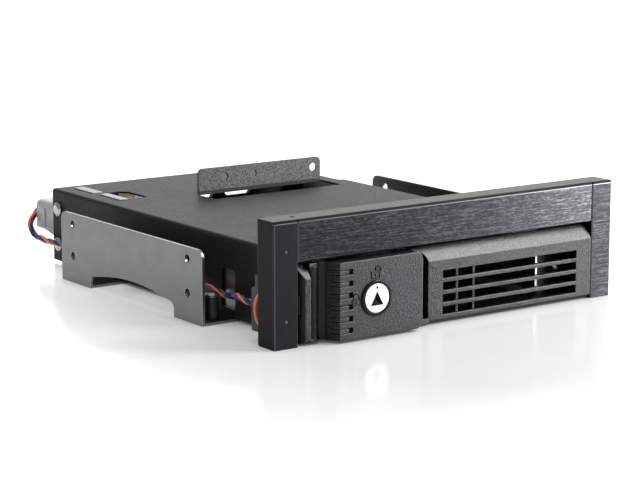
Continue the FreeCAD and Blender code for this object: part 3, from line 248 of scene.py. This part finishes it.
def band(finish, value, low, high):
    """One where a value lies between two limits, with soft ends."""
    above = finish.math("MULTIPLY", finish.math("SUBTRACT", value, low), 1 / SOFT_END)
    below = finish.math("MULTIPLY", finish.math("SUBTRACT", high, value), 1 / SOFT_END)
    share = finish.math("MINIMUM", above, below)
    return finish.math("MINIMUM", finish.math("MAXIMUM", share, 0.0), 1.0)


def plate_edges(finish, color):
    """Painted highlights: on upright chamfers, and a pale line under the black band at the top."""
    left = finish.facing(-DIAGONAL, -DIAGONAL, 0)
    right = finish.facing(DIAGONAL, -DIAGONAL, 0)
    # Painted highlight on the slanted upright chamfers.
    chamfer = finish.ramp(finish.math("MAXIMUM", left, right), (0.90, 0.0), (0.96, 1.0))
    color = finish.mix(chamfer, color, CHAMFER_HIGHLIGHT)
    height = finish.along("Z")
    band_foot = bezel_top - BLACK_BAND
    # Painted highlight: a pale line just under the black band.
    color = finish.mix(band(finish, height, band_foot - HIGHLIGHT_LINE_WIDTH, band_foot), color, LINE_HIGHLIGHT)
    gap = band(finish, height, band_foot, bezel_top + 1 * MM)
    return finish.mix(gap, color, GAP_BLACK), gap


def metal_below(finish, gap, metallic):
    """The plate is metal, and the black band above it isn't."""
    return finish.mix(gap, (metallic, metallic, metallic, 1), (0.0, 0.0, 0.0, 1))


print(f"light line {BLACK_BAND / MM:.2f} mm below the bezel's top")

# %% Brushed plates
STREAKS_DARK = (0.006, 0.006, 0.007)
STREAKS_MIDDLE = (0.020, 0.020, 0.022)
STREAKS_PALE = (0.080, 0.080, 0.089)
DULL = (0.9, 0.9, 0.9, 1)


def brushed_plate(name, share):
    """Scratches from side to side. A smaller share makes the plate darker."""
    finish = Finish(name, (0.05, 0.05, 0.055), 0.36, 0.9)
    streaks = finish.noise(1.0, 3.0, finish.stretched(90, 300, 3300))
    wander = finish.noise(1.0, 2.0, finish.stretched(700, 500, 2000))
    both = finish.mix(0.4, streaks, wander)
    dark, middle, pale = (tuple(share * value for value in grey)
                          for grey in (STREAKS_DARK, STREAKS_MIDDLE, STREAKS_PALE))
    color = finish.ramp(both, (0.30, dark), (0.50, middle), (0.72, pale))
    color, gap = plate_edges(finish, color)
    rough = finish.mix(gap, finish.ramp(both, (0.3, 0.38), (0.7, 0.30)), DULL)
    normal = finish.bump(both, 0.30, 0.10 * MM)
    finish.set(Base_Color=color, Roughness=rough, Normal=normal, Specular_IOR_Level=0.2)
    finish.set(Anisotropic=0.8, Anisotropic_Rotation=0.25)
    return finish.set(Metallic=metal_below(finish, gap, 0.9))


def blasted_plate():
    """An even, fine grain."""
    finish = Finish("blasted_plate", (0.03, 0.03, 0.034), 0.42, 0.6)
    grain = finish.noise(3200, 3.0)
    drift = finish.noise(30, 2.0)
    color = finish.ramp(grain, (0.3, (0.005, 0.005, 0.006)), (0.75, (0.011, 0.011, 0.013)))
    color, gap = plate_edges(finish, color)
    rough = finish.mix(gap, finish.ramp(drift, (0.3, 0.40), (0.7, 0.46)), DULL)
    normal = finish.bump(grain, 0.25, 0.04 * MM)
    finish.set(Base_Color=color, Roughness=rough, Normal=normal, Specular_IOR_Level=0.2)
    return finish.set(Metallic=metal_below(finish, gap, 0.6))


dress(brushed_plate("brushed_bar", 1.0), "bezel_top_strip")
dress(brushed_plate("brushed_cap", 0.5), "bezel_right_cap")
dress(blasted_plate(), "bezel_left_cap")

# %% [markdown]
# ## Speckled moulding
# The tray front and the lever are moulded with a spark eroded texture: thousands of tiny
# pits that glint as pale speckles on dark grey. Two sizes of noise, sharpened by a ramp, give
# the speckle, and the same pattern drives the bump so that light and colour agree. The edges
# get a paler grey as a painted highlight. Grooves get little light, so a painted shade by
# openness darkens them, and the cross ribs that stand behind the grille are painted black by
# how far back they are, a painted shade. The bezel's frame is the same plastic, blacker and
# smoother, with its top painted greyer as a highlight of the light overhead.

# %% Speckled moulding
RIB_SETBACK = 1.7 * MM
RIB_SHADE_BLACK = (0.001, 0.001, 0.001, 1)
EDGE_HIGHLIGHT_GREY = (0.30, 0.30, 0.32, 1)


def speckled_moulding(name, dark, pale, rough_low, rough_high, specular):
    """Pale pits on dark plastic; painted edge highlights, painted shade in grooves and ribs."""
    finish = Finish(name, dark, 0.45)
    fine = finish.noise(2700, 2.0)
    broad = finish.noise(1500, 1.0)
    pits = finish.mix(0.45, fine, broad)
    middle = tuple((low + high) / 2 for low, high in zip(dark, pale))
    color = finish.ramp(pits, (0.42, dark), (0.50, middle), (0.60, pale))
    # Painted highlight: the edges turn a paler grey.
    edges = finish.math("MULTIPLY", finish.edge_mask(0.45 * MM), 0.35)
    color = finish.mix(edges, color, EDGE_HIGHLIGHT_GREY)
    shade = finish.ramp(finish.open_sky(6 * MM), (0.50, 0.01), (0.96, 1.0))
    color = finish.mix(1.0, color, shade, "MULTIPLY")
    # Painted shade: upright faces set back behind the grille are painted black.
    behind = finish.math("GREATER_THAN", finish.along("Y"), bezel_face + RIB_SETBACK)
    upright = finish.math("GREATER_THAN", finish.facing(0, -1, 0), 0.99)
    color = finish.mix(finish.math("MULTIPLY", behind, upright), color, RIB_SHADE_BLACK)
    rough = finish.ramp(pits, (0.35, rough_high), (0.7, rough_low))
    normal = finish.bump(pits, 0.95, 0.20 * MM, finish.soft_edges(0.40 * MM))
    return finish.set(Base_Color=color, Roughness=rough, Normal=normal, Specular_IOR_Level=specular)


tray_moulding = speckled_moulding("speckled_front", dark=(0.001, 0.001, 0.0015),
                                  pale=(0.022, 0.022, 0.025),
                                  rough_low=0.27, rough_high=0.39, specular=0.28)
dress(tray_moulding, "tray_front", "lever")

# %% The bezel's frame
FRAME_TOP_HIGHLIGHT = (0.050, 0.047, 0.042, 1)
dark_moulding = speckled_moulding("black_moulding", dark=(0.006, 0.006, 0.007),
                                  pale=(0.007, 0.007, 0.007),
                                  rough_low=0.36, rough_high=0.46, specular=0.11)
frame_black = dark_moulding.shader.inputs["Base Color"].links[0].from_socket
# Painted highlight: upward faces of the frame are painted greyer, where the light overhead falls.
frame_top_lit = dark_moulding.math("GREATER_THAN", dark_moulding.facing(0, 0, 1), 0.7)
dark_moulding.set(Base_Color=dark_moulding.mix(frame_top_lit, frame_black, FRAME_TOP_HIGHLIGHT))
dress(dark_moulding, "bezel_frame")

# %% [markdown]
# ## Painted cage
# The cage is folded steel under a matt black powder coat. Powder flows into a very fine
# orange peel, so the bump carries a quick ripple and the colour a faint sandy grain. The tab
# that stands up from the roof faces the viewer, and a paler speckle is painted on it as glints
# of the light, a painted highlight. The cut edges are a little lighter.

# %% Painted cage
PALE_EDGE_GREY = (0.07, 0.07, 0.07, 1)


def powder_coat():
    """Matt black with a sandy grain, and paler speckles painted on the roof's tab as glints."""
    finish = Finish("powder_coat", (0.02, 0.02, 0.02), 0.5)
    peel = finish.noise(1400, 3.0)
    slow = finish.noise(120, 2.0)
    sand = finish.noise(1900, 2.0)
    color = finish.ramp(sand, (0.38, (0.002, 0.002, 0.002)), (0.62, (0.015, 0.015, 0.0155)))
    # Painted highlight: the roof's tab gets paler speckles as glints of the light.
    dots = finish.noise(2400, 1.0)
    speckle = finish.ramp(dots, (0.36, (0.016, 0.016, 0.016)), (0.66, (0.10, 0.10, 0.103)))
    tab = finish.math("GREATER_THAN", finish.along("Z"), tab_foot)
    color = finish.mix(tab, color, speckle)
    # The cut edges are a little lighter.
    edges = finish.math("MULTIPLY", finish.edge_mask(0.40 * MM), 0.4)
    color = finish.mix(edges, color, PALE_EDGE_GREY)
    rough = finish.ramp(finish.mix(0.15, peel, slow), (0.35, 0.60), (0.7, 0.48))
    fine = finish.mix(0.5, peel, finish.noise(3000, 1.0))
    normal = finish.bump(fine, 0.55, 0.10 * MM, finish.soft_edges(0.30 * MM))
    return finish.set(Base_Color=color, Roughness=rough, Normal=normal, Specular_IOR_Level=0.27)


dress(powder_coat(), "cage_shell", "cage_floor", "back_panel")

# %% [markdown]
# ## Bare metals
# The brackets are zinc plated sheet: grey, satin, with a faint cloud of crystals. The right
# one is seen from inside, in the cage's shade, so its tint is painted darker. The tray rails
# are bare aluminium and brighter. Screws are nickel plated and nearly mirror like; the small
# ones of the bezel and the standoff sit in shade, so they get a darker tint, a painted shade.
# All edges get a paler tint, a painted highlight. One maker serves them all, because only the
# tints, the cloudiness, the grain and the gloss differ.

# %% Bare metals
def bare_metal(name, tint, roughness, cloud, grain_scale, edge_highlight_tint):
    """Plain metal, its tint drifting by cloud; the edge tint is a painted highlight."""
    finish = Finish(name, tint, roughness, 1.0)
    grain = finish.noise(grain_scale, 3.0)
    drift = finish.noise(160, 3.0)
    both = finish.mix(0.5, grain, drift)
    dark = tuple(value * (1 - cloud) for value in tint)
    pale = tuple(min(1.0, value * (1 + cloud)) for value in tint)
    color = finish.ramp(both, (0.3, dark), (0.7, pale))
    # Painted highlight: edges turn to the paler edge tint.
    color = finish.mix(finish.edge_mask(0.30 * MM), color, (*edge_highlight_tint, 1))
    rough = finish.ramp(both, (0.3, roughness * 1.2), (0.7, roughness * 0.85))
    normal = finish.bump(grain, 0.15, 0.04 * MM, finish.soft_edges(0.25 * MM))
    return finish.set(Base_Color=color, Roughness=rough, Normal=normal)


zinc = bare_metal("zinc_sheet", (0.21, 0.21, 0.211), 0.34, 0.05, 2600, (0.55, 0.55, 0.55))
dress(zinc, "bracket_left", "bracket_rivets", "lock_cam")
shaded_zinc = bare_metal("zinc_inner", (0.09, 0.087, 0.083), 0.34, 0.05, 2600, (0.50, 0.48, 0.46))
dress(shaded_zinc, "bracket_right")
aluminium = bare_metal("bare_aluminium", (0.34, 0.34, 0.34), 0.34, 0.08, 2200, (0.45, 0.45, 0.45))
dress(aluminium, "tray_rail_left", "tray_rail_right")
nickel = bare_metal("nickel_plate", (0.46, 0.44, 0.41), 0.20, 0.10, 3000, (0.80, 0.78, 0.75))
dress(nickel, "wall_screws", "web_screw", "board_screws", "lever_catch", "lever_pin", "power_pins")
# A darker copy of the nickel, a painted shade for the small screws that sit in shade.
shaded_nickel = bare_metal("shaded_nickel", (0.20, 0.185, 0.16), 0.38, 0.12, 3000, (0.45, 0.43, 0.39))
dress(shaded_nickel, "spacer_screw", "bezel_screws")
black_zinc = bare_metal("black_zinc", (0.05, 0.05, 0.055), 0.32, 0.20, 3000, (0.2, 0.2, 0.2))
dress(black_zinc, "tray_screws", "lock_nut")

# %% [markdown]
# ## The lock
# The barrel's face is pale, nearly white metal with a fine turned finish, set in a gloss
# black ring. The turning marks are rings round the lock's axis, so the pattern is a wave of
# the distance from that axis and not a noise. The recess for the key is dark, partly its own
# dark and partly painted shade, so the colour turns black as soon as a place lies a little
# behind the face.

# %% Distance from the lock's axis
def from_lock_axis(finish):
    """How far a place is from the line that the lock turns about, in metres."""
    offset = finish.add("ShaderNodeVectorMath")
    offset.operation = "SUBTRACT"
    finish.tree.links.new(finish.place, offset.inputs[0])
    offset.inputs[1].default_value = (lock_centre.x, 0, lock_centre.z)
    flatten = finish.add("ShaderNodeVectorMath")
    flatten.operation = "MULTIPLY"
    finish.tree.links.new(offset.outputs[0], flatten.inputs[0])
    flatten.inputs[1].default_value = (1, 0, 1)
    length = finish.add("ShaderNodeVectorMath")
    length.operation = "LENGTH"
    finish.tree.links.new(flatten.outputs[0], length.inputs[0])
    return length.outputs["Value"]


print(f"barrel's face at {barrel_front / MM:.1f} mm")

# %% The lock
TURNING = 30000.0
RECESS_SHADE_BLACK = (0.004, 0.004, 0.005, 1)
RECESS_DULL = (0.95, 0.95, 0.95, 1)


def turned_face():
    """Rings about a fifth of a millimetre apart on pale metal, with a black recess."""
    finish = Finish("turned_face", (0.88, 0.89, 0.91), 0.34)
    rings = finish.math("SINE", finish.math("MULTIPLY", from_lock_axis(finish), TURNING))
    grain = finish.noise(2500, 2.0)
    color = finish.ramp(grain, (0.3, (0.60, 0.615, 0.64)), (0.7, (0.68, 0.69, 0.715)))
    depth = finish.math("SUBTRACT", finish.along("Y"), barrel_front)
    sunk = finish.ramp(finish.math("MULTIPLY", depth, 1 / MM), (0.02, 0.0), (0.05, 1.0))
    # The recess is black, partly its own dark and partly painted shade.
    color = finish.mix(sunk, color, RECESS_SHADE_BLACK)
    normal = finish.bump(rings, 0.10, 0.02 * MM, finish.soft_edges(0.20 * MM))
    rough = finish.mix(sunk, finish.ramp(grain, (0.3, 0.42), (0.7, 0.30)), RECESS_DULL)
    return finish.set(Base_Color=color, Roughness=rough, Normal=normal, Specular_IOR_Level=0.2)


def gloss_black():
    """The ring round the lock, which the padlock marks share."""
    finish = Finish("gloss_black", (0.006, 0.006, 0.007), 0.22)
    grain = finish.noise(2000, 2.0)
    rough = finish.ramp(grain, (0.3, 0.26), (0.7, 0.18))
    color = finish.ramp(grain, (0.3, (0.004, 0.004, 0.005)), (0.7, (0.010, 0.010, 0.011)))
    normal = finish.bump(grain, 0.08, 0.02 * MM, finish.soft_edges(0.30 * MM))
    return finish.set(Base_Color=color, Roughness=rough, Normal=normal, Specular_IOR_Level=0.15)


dress(turned_face(), "lock_barrel")
ring_finish = gloss_black()
dress(ring_finish, "lock_collar")

# %% [markdown]
# ## Nylon
# The power header is natural nylon, milky and slightly see-through, so a little light scatters
# inside it. The plugs are black nylon. The sockets on the board are seen only down the roof's
# hatch: a narrow beige one beside a wide white one. Little light reaches them there, so a faint
# glow in their own tint is painted on them as painted light, though they are no lamp.

# %% Nylon
NYLON_SCATTER = (1.2 * MM, 1.0 * MM, 0.8 * MM)


def nylon(name, dark, pale, roughness, scatter=0.0):
    """Cloudy plastic with a fine grain."""
    finish = Finish(name, dark, roughness)
    cloud = finish.noise(420, 3.0)
    grain = finish.noise(2600, 2.0)
    color = finish.ramp(finish.mix(0.4, cloud, grain), (0.3, dark), (0.7, pale))
    rough = finish.ramp(grain, (0.3, roughness * 1.15), (0.7, roughness * 0.85))
    normal = finish.bump(grain, 0.18, 0.05 * MM, finish.soft_edges(0.30 * MM))
    finish.set(Base_Color=color, Roughness=rough, Normal=normal)
    return finish.set(Subsurface_Weight=scatter, Subsurface_Radius=NYLON_SCATTER)


dress(nylon("natural_nylon", (0.36, 0.37, 0.37), (0.50, 0.50, 0.49), 0.40, 0.25),
      "power_header", "runner_left", "runner_right")
dress(nylon("black_nylon", (0.010, 0.010, 0.011), (0.026, 0.026, 0.028), 0.42),
      "led_plug", "drive_connector", "data_header", "lead_plug", "lead_clip", "spacer_post")

# %% The sockets under the hatch
NARROW_SOCKET = 5.6 * MM
BEIGE = (0.42, 0.36, 0.26, 1)
socket_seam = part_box("board_sockets")[0].x + NARROW_SOCKET


def glowing_socket_nylon():
    """Beige up to the seam between the two sockets and white past it, with a painted glow."""
    finish = nylon("glowing_socket_nylon", (0.60, 0.60, 0.58), (0.78, 0.78, 0.76), 0.40)
    white = finish.shader.inputs["Base Color"].links[0].from_socket
    wide = finish.math("GREATER_THAN", finish.along("X"), socket_seam)
    tint = finish.mix(wide, BEIGE, white)
    # Painted light: a faint glow in the sockets' own tint, though they are no lamp.
    return finish.set(Base_Color=tint, Emission_Color=tint, Emission_Strength=0.35)


dress(glowing_socket_nylon(), "board_sockets")

# %% [markdown]
# ## Boards, stickers and lights
# Boards are green lacquer over copper: the tracks show as a paler green net under a gloss
# coat, and a cell pattern measured along the axes gives their square corners. The stickers on
# the roof are left as plain grey paper. The two lights are clear plastic pins that carry no
# lamp, so they are dim and let some of the light through.

# %% Boards, stickers and lights
def green_board():
    """A net of tracks under lacquer."""
    finish = Finish("green_board", (0.0, 0.10, 0.03), 0.25)
    tracks = finish.add("ShaderNodeTexVoronoi", Vector=finish.stretched(500, 500, 900), Scale=1.0)
    tracks.distance = "MANHATTAN"
    lacquer = finish.ramp(tracks.outputs["Distance"], (0.20, (0.004, 0.115, 0.030)),
                          (0.26, (0.002, 0.055, 0.016)))
    grain = finish.noise(1800, 2.0)
    normal = finish.bump(tracks.outputs["Distance"], 0.12, 0.05 * MM)
    rough = finish.ramp(grain, (0.3, 0.30), (0.7, 0.20))
    return finish.set(Base_Color=lacquer, Normal=normal, Roughness=rough)


def sticker():
    """Grey paper."""
    finish = Finish("sticker", (0.62, 0.62, 0.61), 0.45)
    fibre = finish.noise(900, 4.0)
    color = finish.ramp(fibre, (0.3, (0.22, 0.22, 0.215)), (0.7, (0.31, 0.31, 0.305)))
    normal = finish.bump(fibre, 0.15, 0.05 * MM, finish.soft_edges(0.20 * MM))
    rough = finish.ramp(fibre, (0.3, 0.5), (0.7, 0.4))
    return finish.set(Base_Color=color, Normal=normal, Roughness=rough)


def clear_lens():
    """Clear plastic with a slight haze."""
    finish = Finish("clear_lens", (0.10, 0.11, 0.10), 0.15)
    haze = finish.noise(900, 2.0)
    color = finish.ramp(haze, (0.3, (0.05, 0.055, 0.05)), (0.7, (0.12, 0.13, 0.12)))
    rough = finish.ramp(haze, (0.3, 0.2), (0.7, 0.1))
    return finish.set(Base_Color=color, Roughness=rough, Transmission_Weight=0.4)


dress(green_board(), "led_board", "backplane_board")
dress(sticker(), "roof_labels")
dress(clear_lens(), "indicator_lights")

# %% [markdown]
# ## The twisted lead
# Three thin wires twisted together run from the plug at the back to the lights in front. They
# could be one rope with a twisted pattern, but the gaps between real wires show at this size.
# So the route is one smooth curve, led by the same places as the plain lead of the
# model, and three wires wind round it.

# %% The route of the lead
LEAD_ROUTE = [
    (-31.0, 178.2, 19.5), (-31.0, 183.0, 19.5), (-33.35, 187.05, 19.6), (-37.4, 189.4, 19.8),
    (-46.5, 189.4, 20.0), (-54.5, 189.4, 18.9), (-60.0, 188.9, 14.4), (-62.6, 183.8, 10.0),
    (-62.7, 176.6, 8.8), (-62.9, 165.0, 8.6), (-64.6, 148.0, 11.0), (-65.0, 115.0, 14.2),
    (-65.0, 98.0, 14.2), (-63.4, 69.0, 11.8), (-61.6, 53.0, 9.4), (-61.7, 44.5, 9.0),
    (-65.0, 31.0, 11.6), (-67.3, 23.6, 11.3), (-67.3, 19.3, 11.3),
]
LOOP_ROUTE = [
    (-70.3, 6.1, 17.6), (-70.3, 13.0, 17.2), (-70.4, 15.6, 11.0), (-70.3, 13.0, 5.2),
    (-70.3, 6.1, 4.8),
]


def smooth_curve(name, route):
    """A NURBS curve led by places in millimetres, with y counted from the bezel's face."""
    curve = bpy.data.curves.new(name, "CURVE")
    curve.dimensions = "3D"
    curve.resolution_u = 12
    spline = curve.splines.new("NURBS")
    spline.points.add(len(route) - 1)
    for point, (x, y, z) in zip(spline.points, route):
        point.co = (x * MM, bezel_face + y * MM, z * MM, 1)
    spline.order_u = 3
    spline.use_endpoint_u = True
    return bpy.data.objects.new(name, curve)


def points_along(curve_object):
    """The smooth line's own points, read back from it."""
    bpy.context.scene.collection.objects.link(curve_object)
    mesh = bpy.data.meshes.new_from_object(curve_object)
    points = [vertex.co.copy() for vertex in mesh.vertices]
    bpy.data.meshes.remove(mesh)
    bpy.data.objects.remove(curve_object)
    return points


lead_line = points_along(smooth_curve("lead_line", LEAD_ROUTE))
print(len(lead_line), "points along the lead")

# %% [markdown]
# ## Winding a wire round a line
# The line is cut in even steps. At every step a frame is carried along it without twisting,
# and the wire's place turns in that frame, one full turn for each lay. The lay is the length
# in which a wire comes back to the same side, here 20 mm, a loose twist.

# %% Even steps along a line
def even_steps(points, step):
    """The same line with its points a fixed step apart."""
    evened = [points[0]]
    spare = 0.0
    for here, there in zip(points, points[1:]):
        run = (there - here).length
        while spare + run >= step and run > 0:
            share = (step - spare) / run
            here = here.lerp(there, share)
            run = (there - here).length
            evened.append(here.copy())
            spare = 0.0
        spare += run
    return evened


STEP = 0.45 * MM
steps = even_steps(lead_line, STEP)
print(len(steps), "even steps")

# %% Winding
def wound(points, radius, lay, start):
    """A wire's places, a radius away from the line, one turn for each lay."""
    heading = (points[1] - points[0]).normalized()
    side = heading.orthogonal().normalized()
    travelled = 0.0
    places = []
    for n, point in enumerate(points):
        ahead = points[min(n + 1, len(points) - 1)] - points[max(n - 1, 0)]
        side = (side - ahead * side.dot(ahead) / ahead.length_squared).normalized()
        other = ahead.normalized().cross(side)
        turn = start + 2 * math.pi * travelled / lay
        places.append(point + (side * math.cos(turn) + other * math.sin(turn)) * radius)
        if n + 1 < len(points):
            travelled += (points[n + 1] - point).length
    return places


def wire(name, places, diameter, finish):
    """A round wire through its places."""
    curve = bpy.data.curves.new(name, "CURVE")
    curve.dimensions = "3D"
    curve.bevel_depth = diameter / 2
    curve.bevel_resolution = 4
    curve.use_fill_caps = True
    spline = curve.splines.new("POLY")
    spline.points.add(len(places) - 1)
    for point, place in zip(spline.points, places):
        point.co = (*place, 1)
    spline.use_smooth = True
    curve.materials.append(finish.material)
    piece = bpy.data.objects.new(name, curve)
    bpy.context.scene.collection.objects.link(piece)
    return piece


def wire_sleeve(name, color):
    """Soft plastic insulation: a clear tint, a faint mottle and a low gloss."""
    finish = Finish(name, color, 0.36)
    mottle = finish.noise(700, 2.0)
    dark = tuple(value * 0.8 for value in color)
    pale = tuple(min(1.0, value * 1.15) for value in color)
    shade = finish.ramp(mottle, (0.3, dark), (0.7, pale))
    rough = finish.ramp(mottle, (0.3, 0.42), (0.7, 0.30))
    normal = finish.bump(finish.noise(1800, 2.0), 0.12, 0.04 * MM)
    return finish.set(Base_Color=shade, Roughness=rough, Normal=normal)


WIRE = 1.15 * MM
WINDING_RADIUS = WIRE * 0.60
LAY = 20 * MM
print(f"three wires of {WIRE / MM:.2f} mm")

# %% The three wires
orange = wire_sleeve("orange_sleeve", (0.95, 0.20, 0.08))
sleeves = {"orange": orange, "blue": wire_sleeve("blue_sleeve", (0.025, 0.06, 0.40)),
           "black": wire_sleeve("black_sleeve", (0.012, 0.012, 0.013))}
for turn, (tint, finish) in enumerate(sleeves.items()):
    places = wound(steps, WINDING_RADIUS, LAY, turn * 2 * math.pi / 3)
    strand = wire(f"lead_wire_{tint}", places, WIRE, finish)
    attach(strand, "cage")
    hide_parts("led_lead")
    print(strand.name, len(places), "places")

# %% [markdown]
# ## The single wire
# A single orange wire bows out behind the bezel. Its ends are out of sight, so both are simply
# taken back to the small board. It is a round wire through even steps, without any winding.

# %% The single wire behind the bezel
LOOP_WIRE = 1.3 * MM
LOOP_STEP = 0.4 * MM
loop_line = even_steps(points_along(smooth_curve("loop_line", LOOP_ROUTE)), LOOP_STEP)
loop = wire("loop_wire", loop_line, LOOP_WIRE, orange)
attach(loop, "cage")
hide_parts("led_loop")
print(loop.name, len(loop_line), "places")

# %% [markdown]
# ## Raised padlock marks
# Two small generic padlocks stand on the lever: an open one above the lock and a closed one
# to its left, where the barrel's dot points when it is turned. Each is a low body and a bent
# bow, raised by a fifth of a millimetre, so they show by their edges as moulded marks do. A
# ridge is a real mesh, a row of four points carried along a line, since a bump alone would
# show no edge from the side.

# %% A ridge on the lever
RIDGE_WIDTH = 0.50 * MM
RIDGE_RISE = 0.20 * MM
RIDGE_SINK = 0.05 * MM
CROWN_SHARE = 0.6


def ridge_row(mesh, place, ahead):
    """Four points across the ridge: a foot, two ends of the crown and the other foot."""
    across = Vector((-ahead.y, ahead.x)).normalized() * RIDGE_WIDTH / 2
    base, crown = lever_face + RIDGE_SINK, lever_face - RIDGE_RISE
    profile = ((-1.0, base), (-CROWN_SHARE, crown), (CROWN_SHARE, crown), (1.0, base))
    return [mesh.verts.new((place[0] + across.x * side, y, place[1] + across.y * side))
            for side, y in profile]


def strip_along(name, line, finish):
    """A low ridge on the lever's face that follows a line of (x, z) places."""
    mesh = bmesh.new()
    rows = []
    for n, place in enumerate(line):
        ahead = Vector(line[min(n + 1, len(line) - 1)]) - Vector(line[max(n - 1, 0)])
        rows.append(ridge_row(mesh, place, ahead))
    for near, far in zip(rows, rows[1:]):
        for k in range(3):
            mesh.faces.new((near[k], near[k + 1], far[k + 1], far[k]))
        mesh.faces.new((near[3], near[0], far[0], far[3]))
    mesh.faces.new(rows[0][::-1])
    mesh.faces.new(rows[-1])
    bmesh.ops.recalc_face_normals(mesh, faces=mesh.faces)
    data = bpy.data.meshes.new(name)
    mesh.to_mesh(data)
    mesh.free()
    data.materials.append(finish.material)
    piece = bpy.data.objects.new(name, data)
    bpy.context.scene.collection.objects.link(piece)
    return piece


print(f"ridges {RIDGE_WIDTH / MM:.2f} mm wide and {RIDGE_RISE / MM:.2f} mm high")

# %% Raised padlock marks
BOW_STEPS = 12
OPEN_SWEEP = 1.12


def padlock(name, x, z, size, lean):
    """An outlined body with a bow over it. An open bow leans to one side."""
    left, right = x - 0.42 * size, x + 0.42 * size
    low, top = z - 0.5 * size, z + 0.05 * size
    body = [(left, low), (right, low), (right, top), (left, top), (left, low)]
    bow_x, bow_z, radius = x + lean * size, top + 0.22 * size, 0.28 * size
    bow = []
    for step in range(BOW_STEPS + 1):
        angle = math.pi * (OPEN_SWEEP if lean else 1.0) * step / BOW_STEPS
        bow.append((bow_x + radius * math.cos(angle), bow_z + radius * math.sin(angle)))
    bow.insert(0, (bow[0][0], top))
    if not lean:
        bow.append((bow[-1][0], top))
    key = [(x, top - 0.20 * size), (x, low + 0.14 * size)]
    pieces = [strip_along(f"{name}_{part}", line, ring_finish)
              for part, line in (("body", body), ("bow", bow), ("key", key))]
    for piece in pieces:
        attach(piece, "lever")
    print(name, "of", len(pieces), "ridges")


PADLOCK = 3.7 * MM
padlock("open_padlock", lock_centre.x - 0.4 * MM, lock_centre.z + 8.6 * MM, PADLOCK, 0.28)
padlock("shut_padlock", lock_centre.x - 8.2 * MM, lock_centre.z + 0.3 * MM, PADLOCK, 0.0)

# %% [markdown]
# ## The floor
# The floor is pale, smooth paper. A plain white floor would still be darker than the surround
# at its far edge, so this one glows more with distance and fades into the white. It hardly
# glows right under the cage, where little light gets in, so the part keeps a soft shadow at
# its foot. It is a little glossy, which gives the faint mirror image of the front.

# %% The floor
FLOOR_HALF = 4.0
GLOW_NEAR = (0.11, 0.43)
GLOW_FAR = (0.24, 0.86)
SHADOW_REACH = 12 * MM
mesh = bmesh.new()
bmesh.ops.create_grid(mesh, x_segments=1, y_segments=1, size=FLOOR_HALF)
floor_data = bpy.data.meshes.new("studio_floor")
mesh.to_mesh(floor_data)
mesh.free()
floor = bpy.data.objects.new("studio_floor", floor_data)
floor.location = (40 * MM, bezel_face, 0)
bpy.context.scene.collection.objects.link(floor)
print("floor laid")

# %% The floor's paper
floor_finish = Finish("floor_paper", (0.25, 0.25, 0.25), 0.17)
centre = floor_finish.add("ShaderNodeVectorMath")
centre.operation = "LENGTH"
floor_finish.tree.links.new(floor_finish.place, centre.inputs[0])
glow = floor_finish.ramp(centre.outputs["Value"], GLOW_NEAR, GLOW_FAR)
shade = floor_finish.ramp(floor_finish.open_sky(SHADOW_REACH), (0.10, 0.10), (0.70, 1.0))
glow = floor_finish.mix(1.0, glow, shade, "MULTIPLY")
smooth = floor_finish.ramp(floor_finish.noise(60, 2.0), (0.3, 0.20), (0.7, 0.14))
floor_finish.set(Roughness=smooth, Emission_Color=glow, Emission_Strength=1.0)
floor_data.materials.append(floor_finish.material)
print("floor ready")

# %% [markdown]
# ## The lights
# Black plastic and metal show only what they reflect, so soft lights are placed by what each
# face mirrors. The key light stands where the sloping brow mirrors it to the camera, and a low
# narrow one at the right rolls a pale sheen across the brushed bar. A broad light behind draws
# the roof, one overhead the top edges, and the pale surround keeps the left side soft. The
# lights themselves are hidden from the camera.

# %% The lights
def soft_light(name, place, target, width, height, watts):
    """A rectangle of light that looks at its target."""
    light = bpy.data.lights.new(name, "AREA")
    light.shape = "RECTANGLE"
    light.size = width
    light.size_y = height
    light.energy = watts
    holder = bpy.data.objects.new(name, light)
    holder.location = place
    holder.visible_camera = False
    direction = Vector(target) - Vector(place)
    holder.rotation_euler = direction.to_track_quat("-Z", "Y").to_euler()
    bpy.context.scene.collection.objects.link(holder)
    return holder


soft_light("key_light", (0.386, -0.358, 0.418), (0.02, -0.09, 0.025), 0.26, 0.32, 7.4)
soft_light("bar_light", (0.45, -0.45, 0.14), (0.06, -0.09, 0.03), 0.08, 0.30, 4.4)
soft_light("back_light", (0.55, 1.10, 0.42), (0, 0, 0.02), 1.4, 0.5, 4.6)
soft_light("top_light", (-0.05, 0.05, 0.95), (0, 0, 0), 0.9, 0.9, 3)
print("four lights ready")

# %% [markdown]
# ## The surround
# The surround has to be pure white behind the part, but as a light that strength would wash
# the black finishes out. A light path node tells the two apart: full white where it is looked
# at, and about a third of that where it lights the part.

# %% The surround
SURROUND_SEEN = 1.1
SURROUND_LIGHT = 0.36
world = bpy.data.worlds.new("studio")
world.use_nodes = True
background = world.node_tree.nodes["Background"]
background.inputs["Color"].default_value = (1, 1, 1, 1)
seen = world.node_tree.nodes.new("ShaderNodeLightPath").outputs["Is Camera Ray"]
level = world.node_tree.nodes.new("ShaderNodeMapRange")
level.inputs["To Min"].default_value = SURROUND_LIGHT
level.inputs["To Max"].default_value = SURROUND_SEEN
world.node_tree.links.new(seen, level.inputs["Value"])
world.node_tree.links.new(level.outputs["Result"], background.inputs["Strength"])
bpy.context.scene.world = world
bpy.context.scene.view_settings.view_transform = "Standard"
print("surround ready")
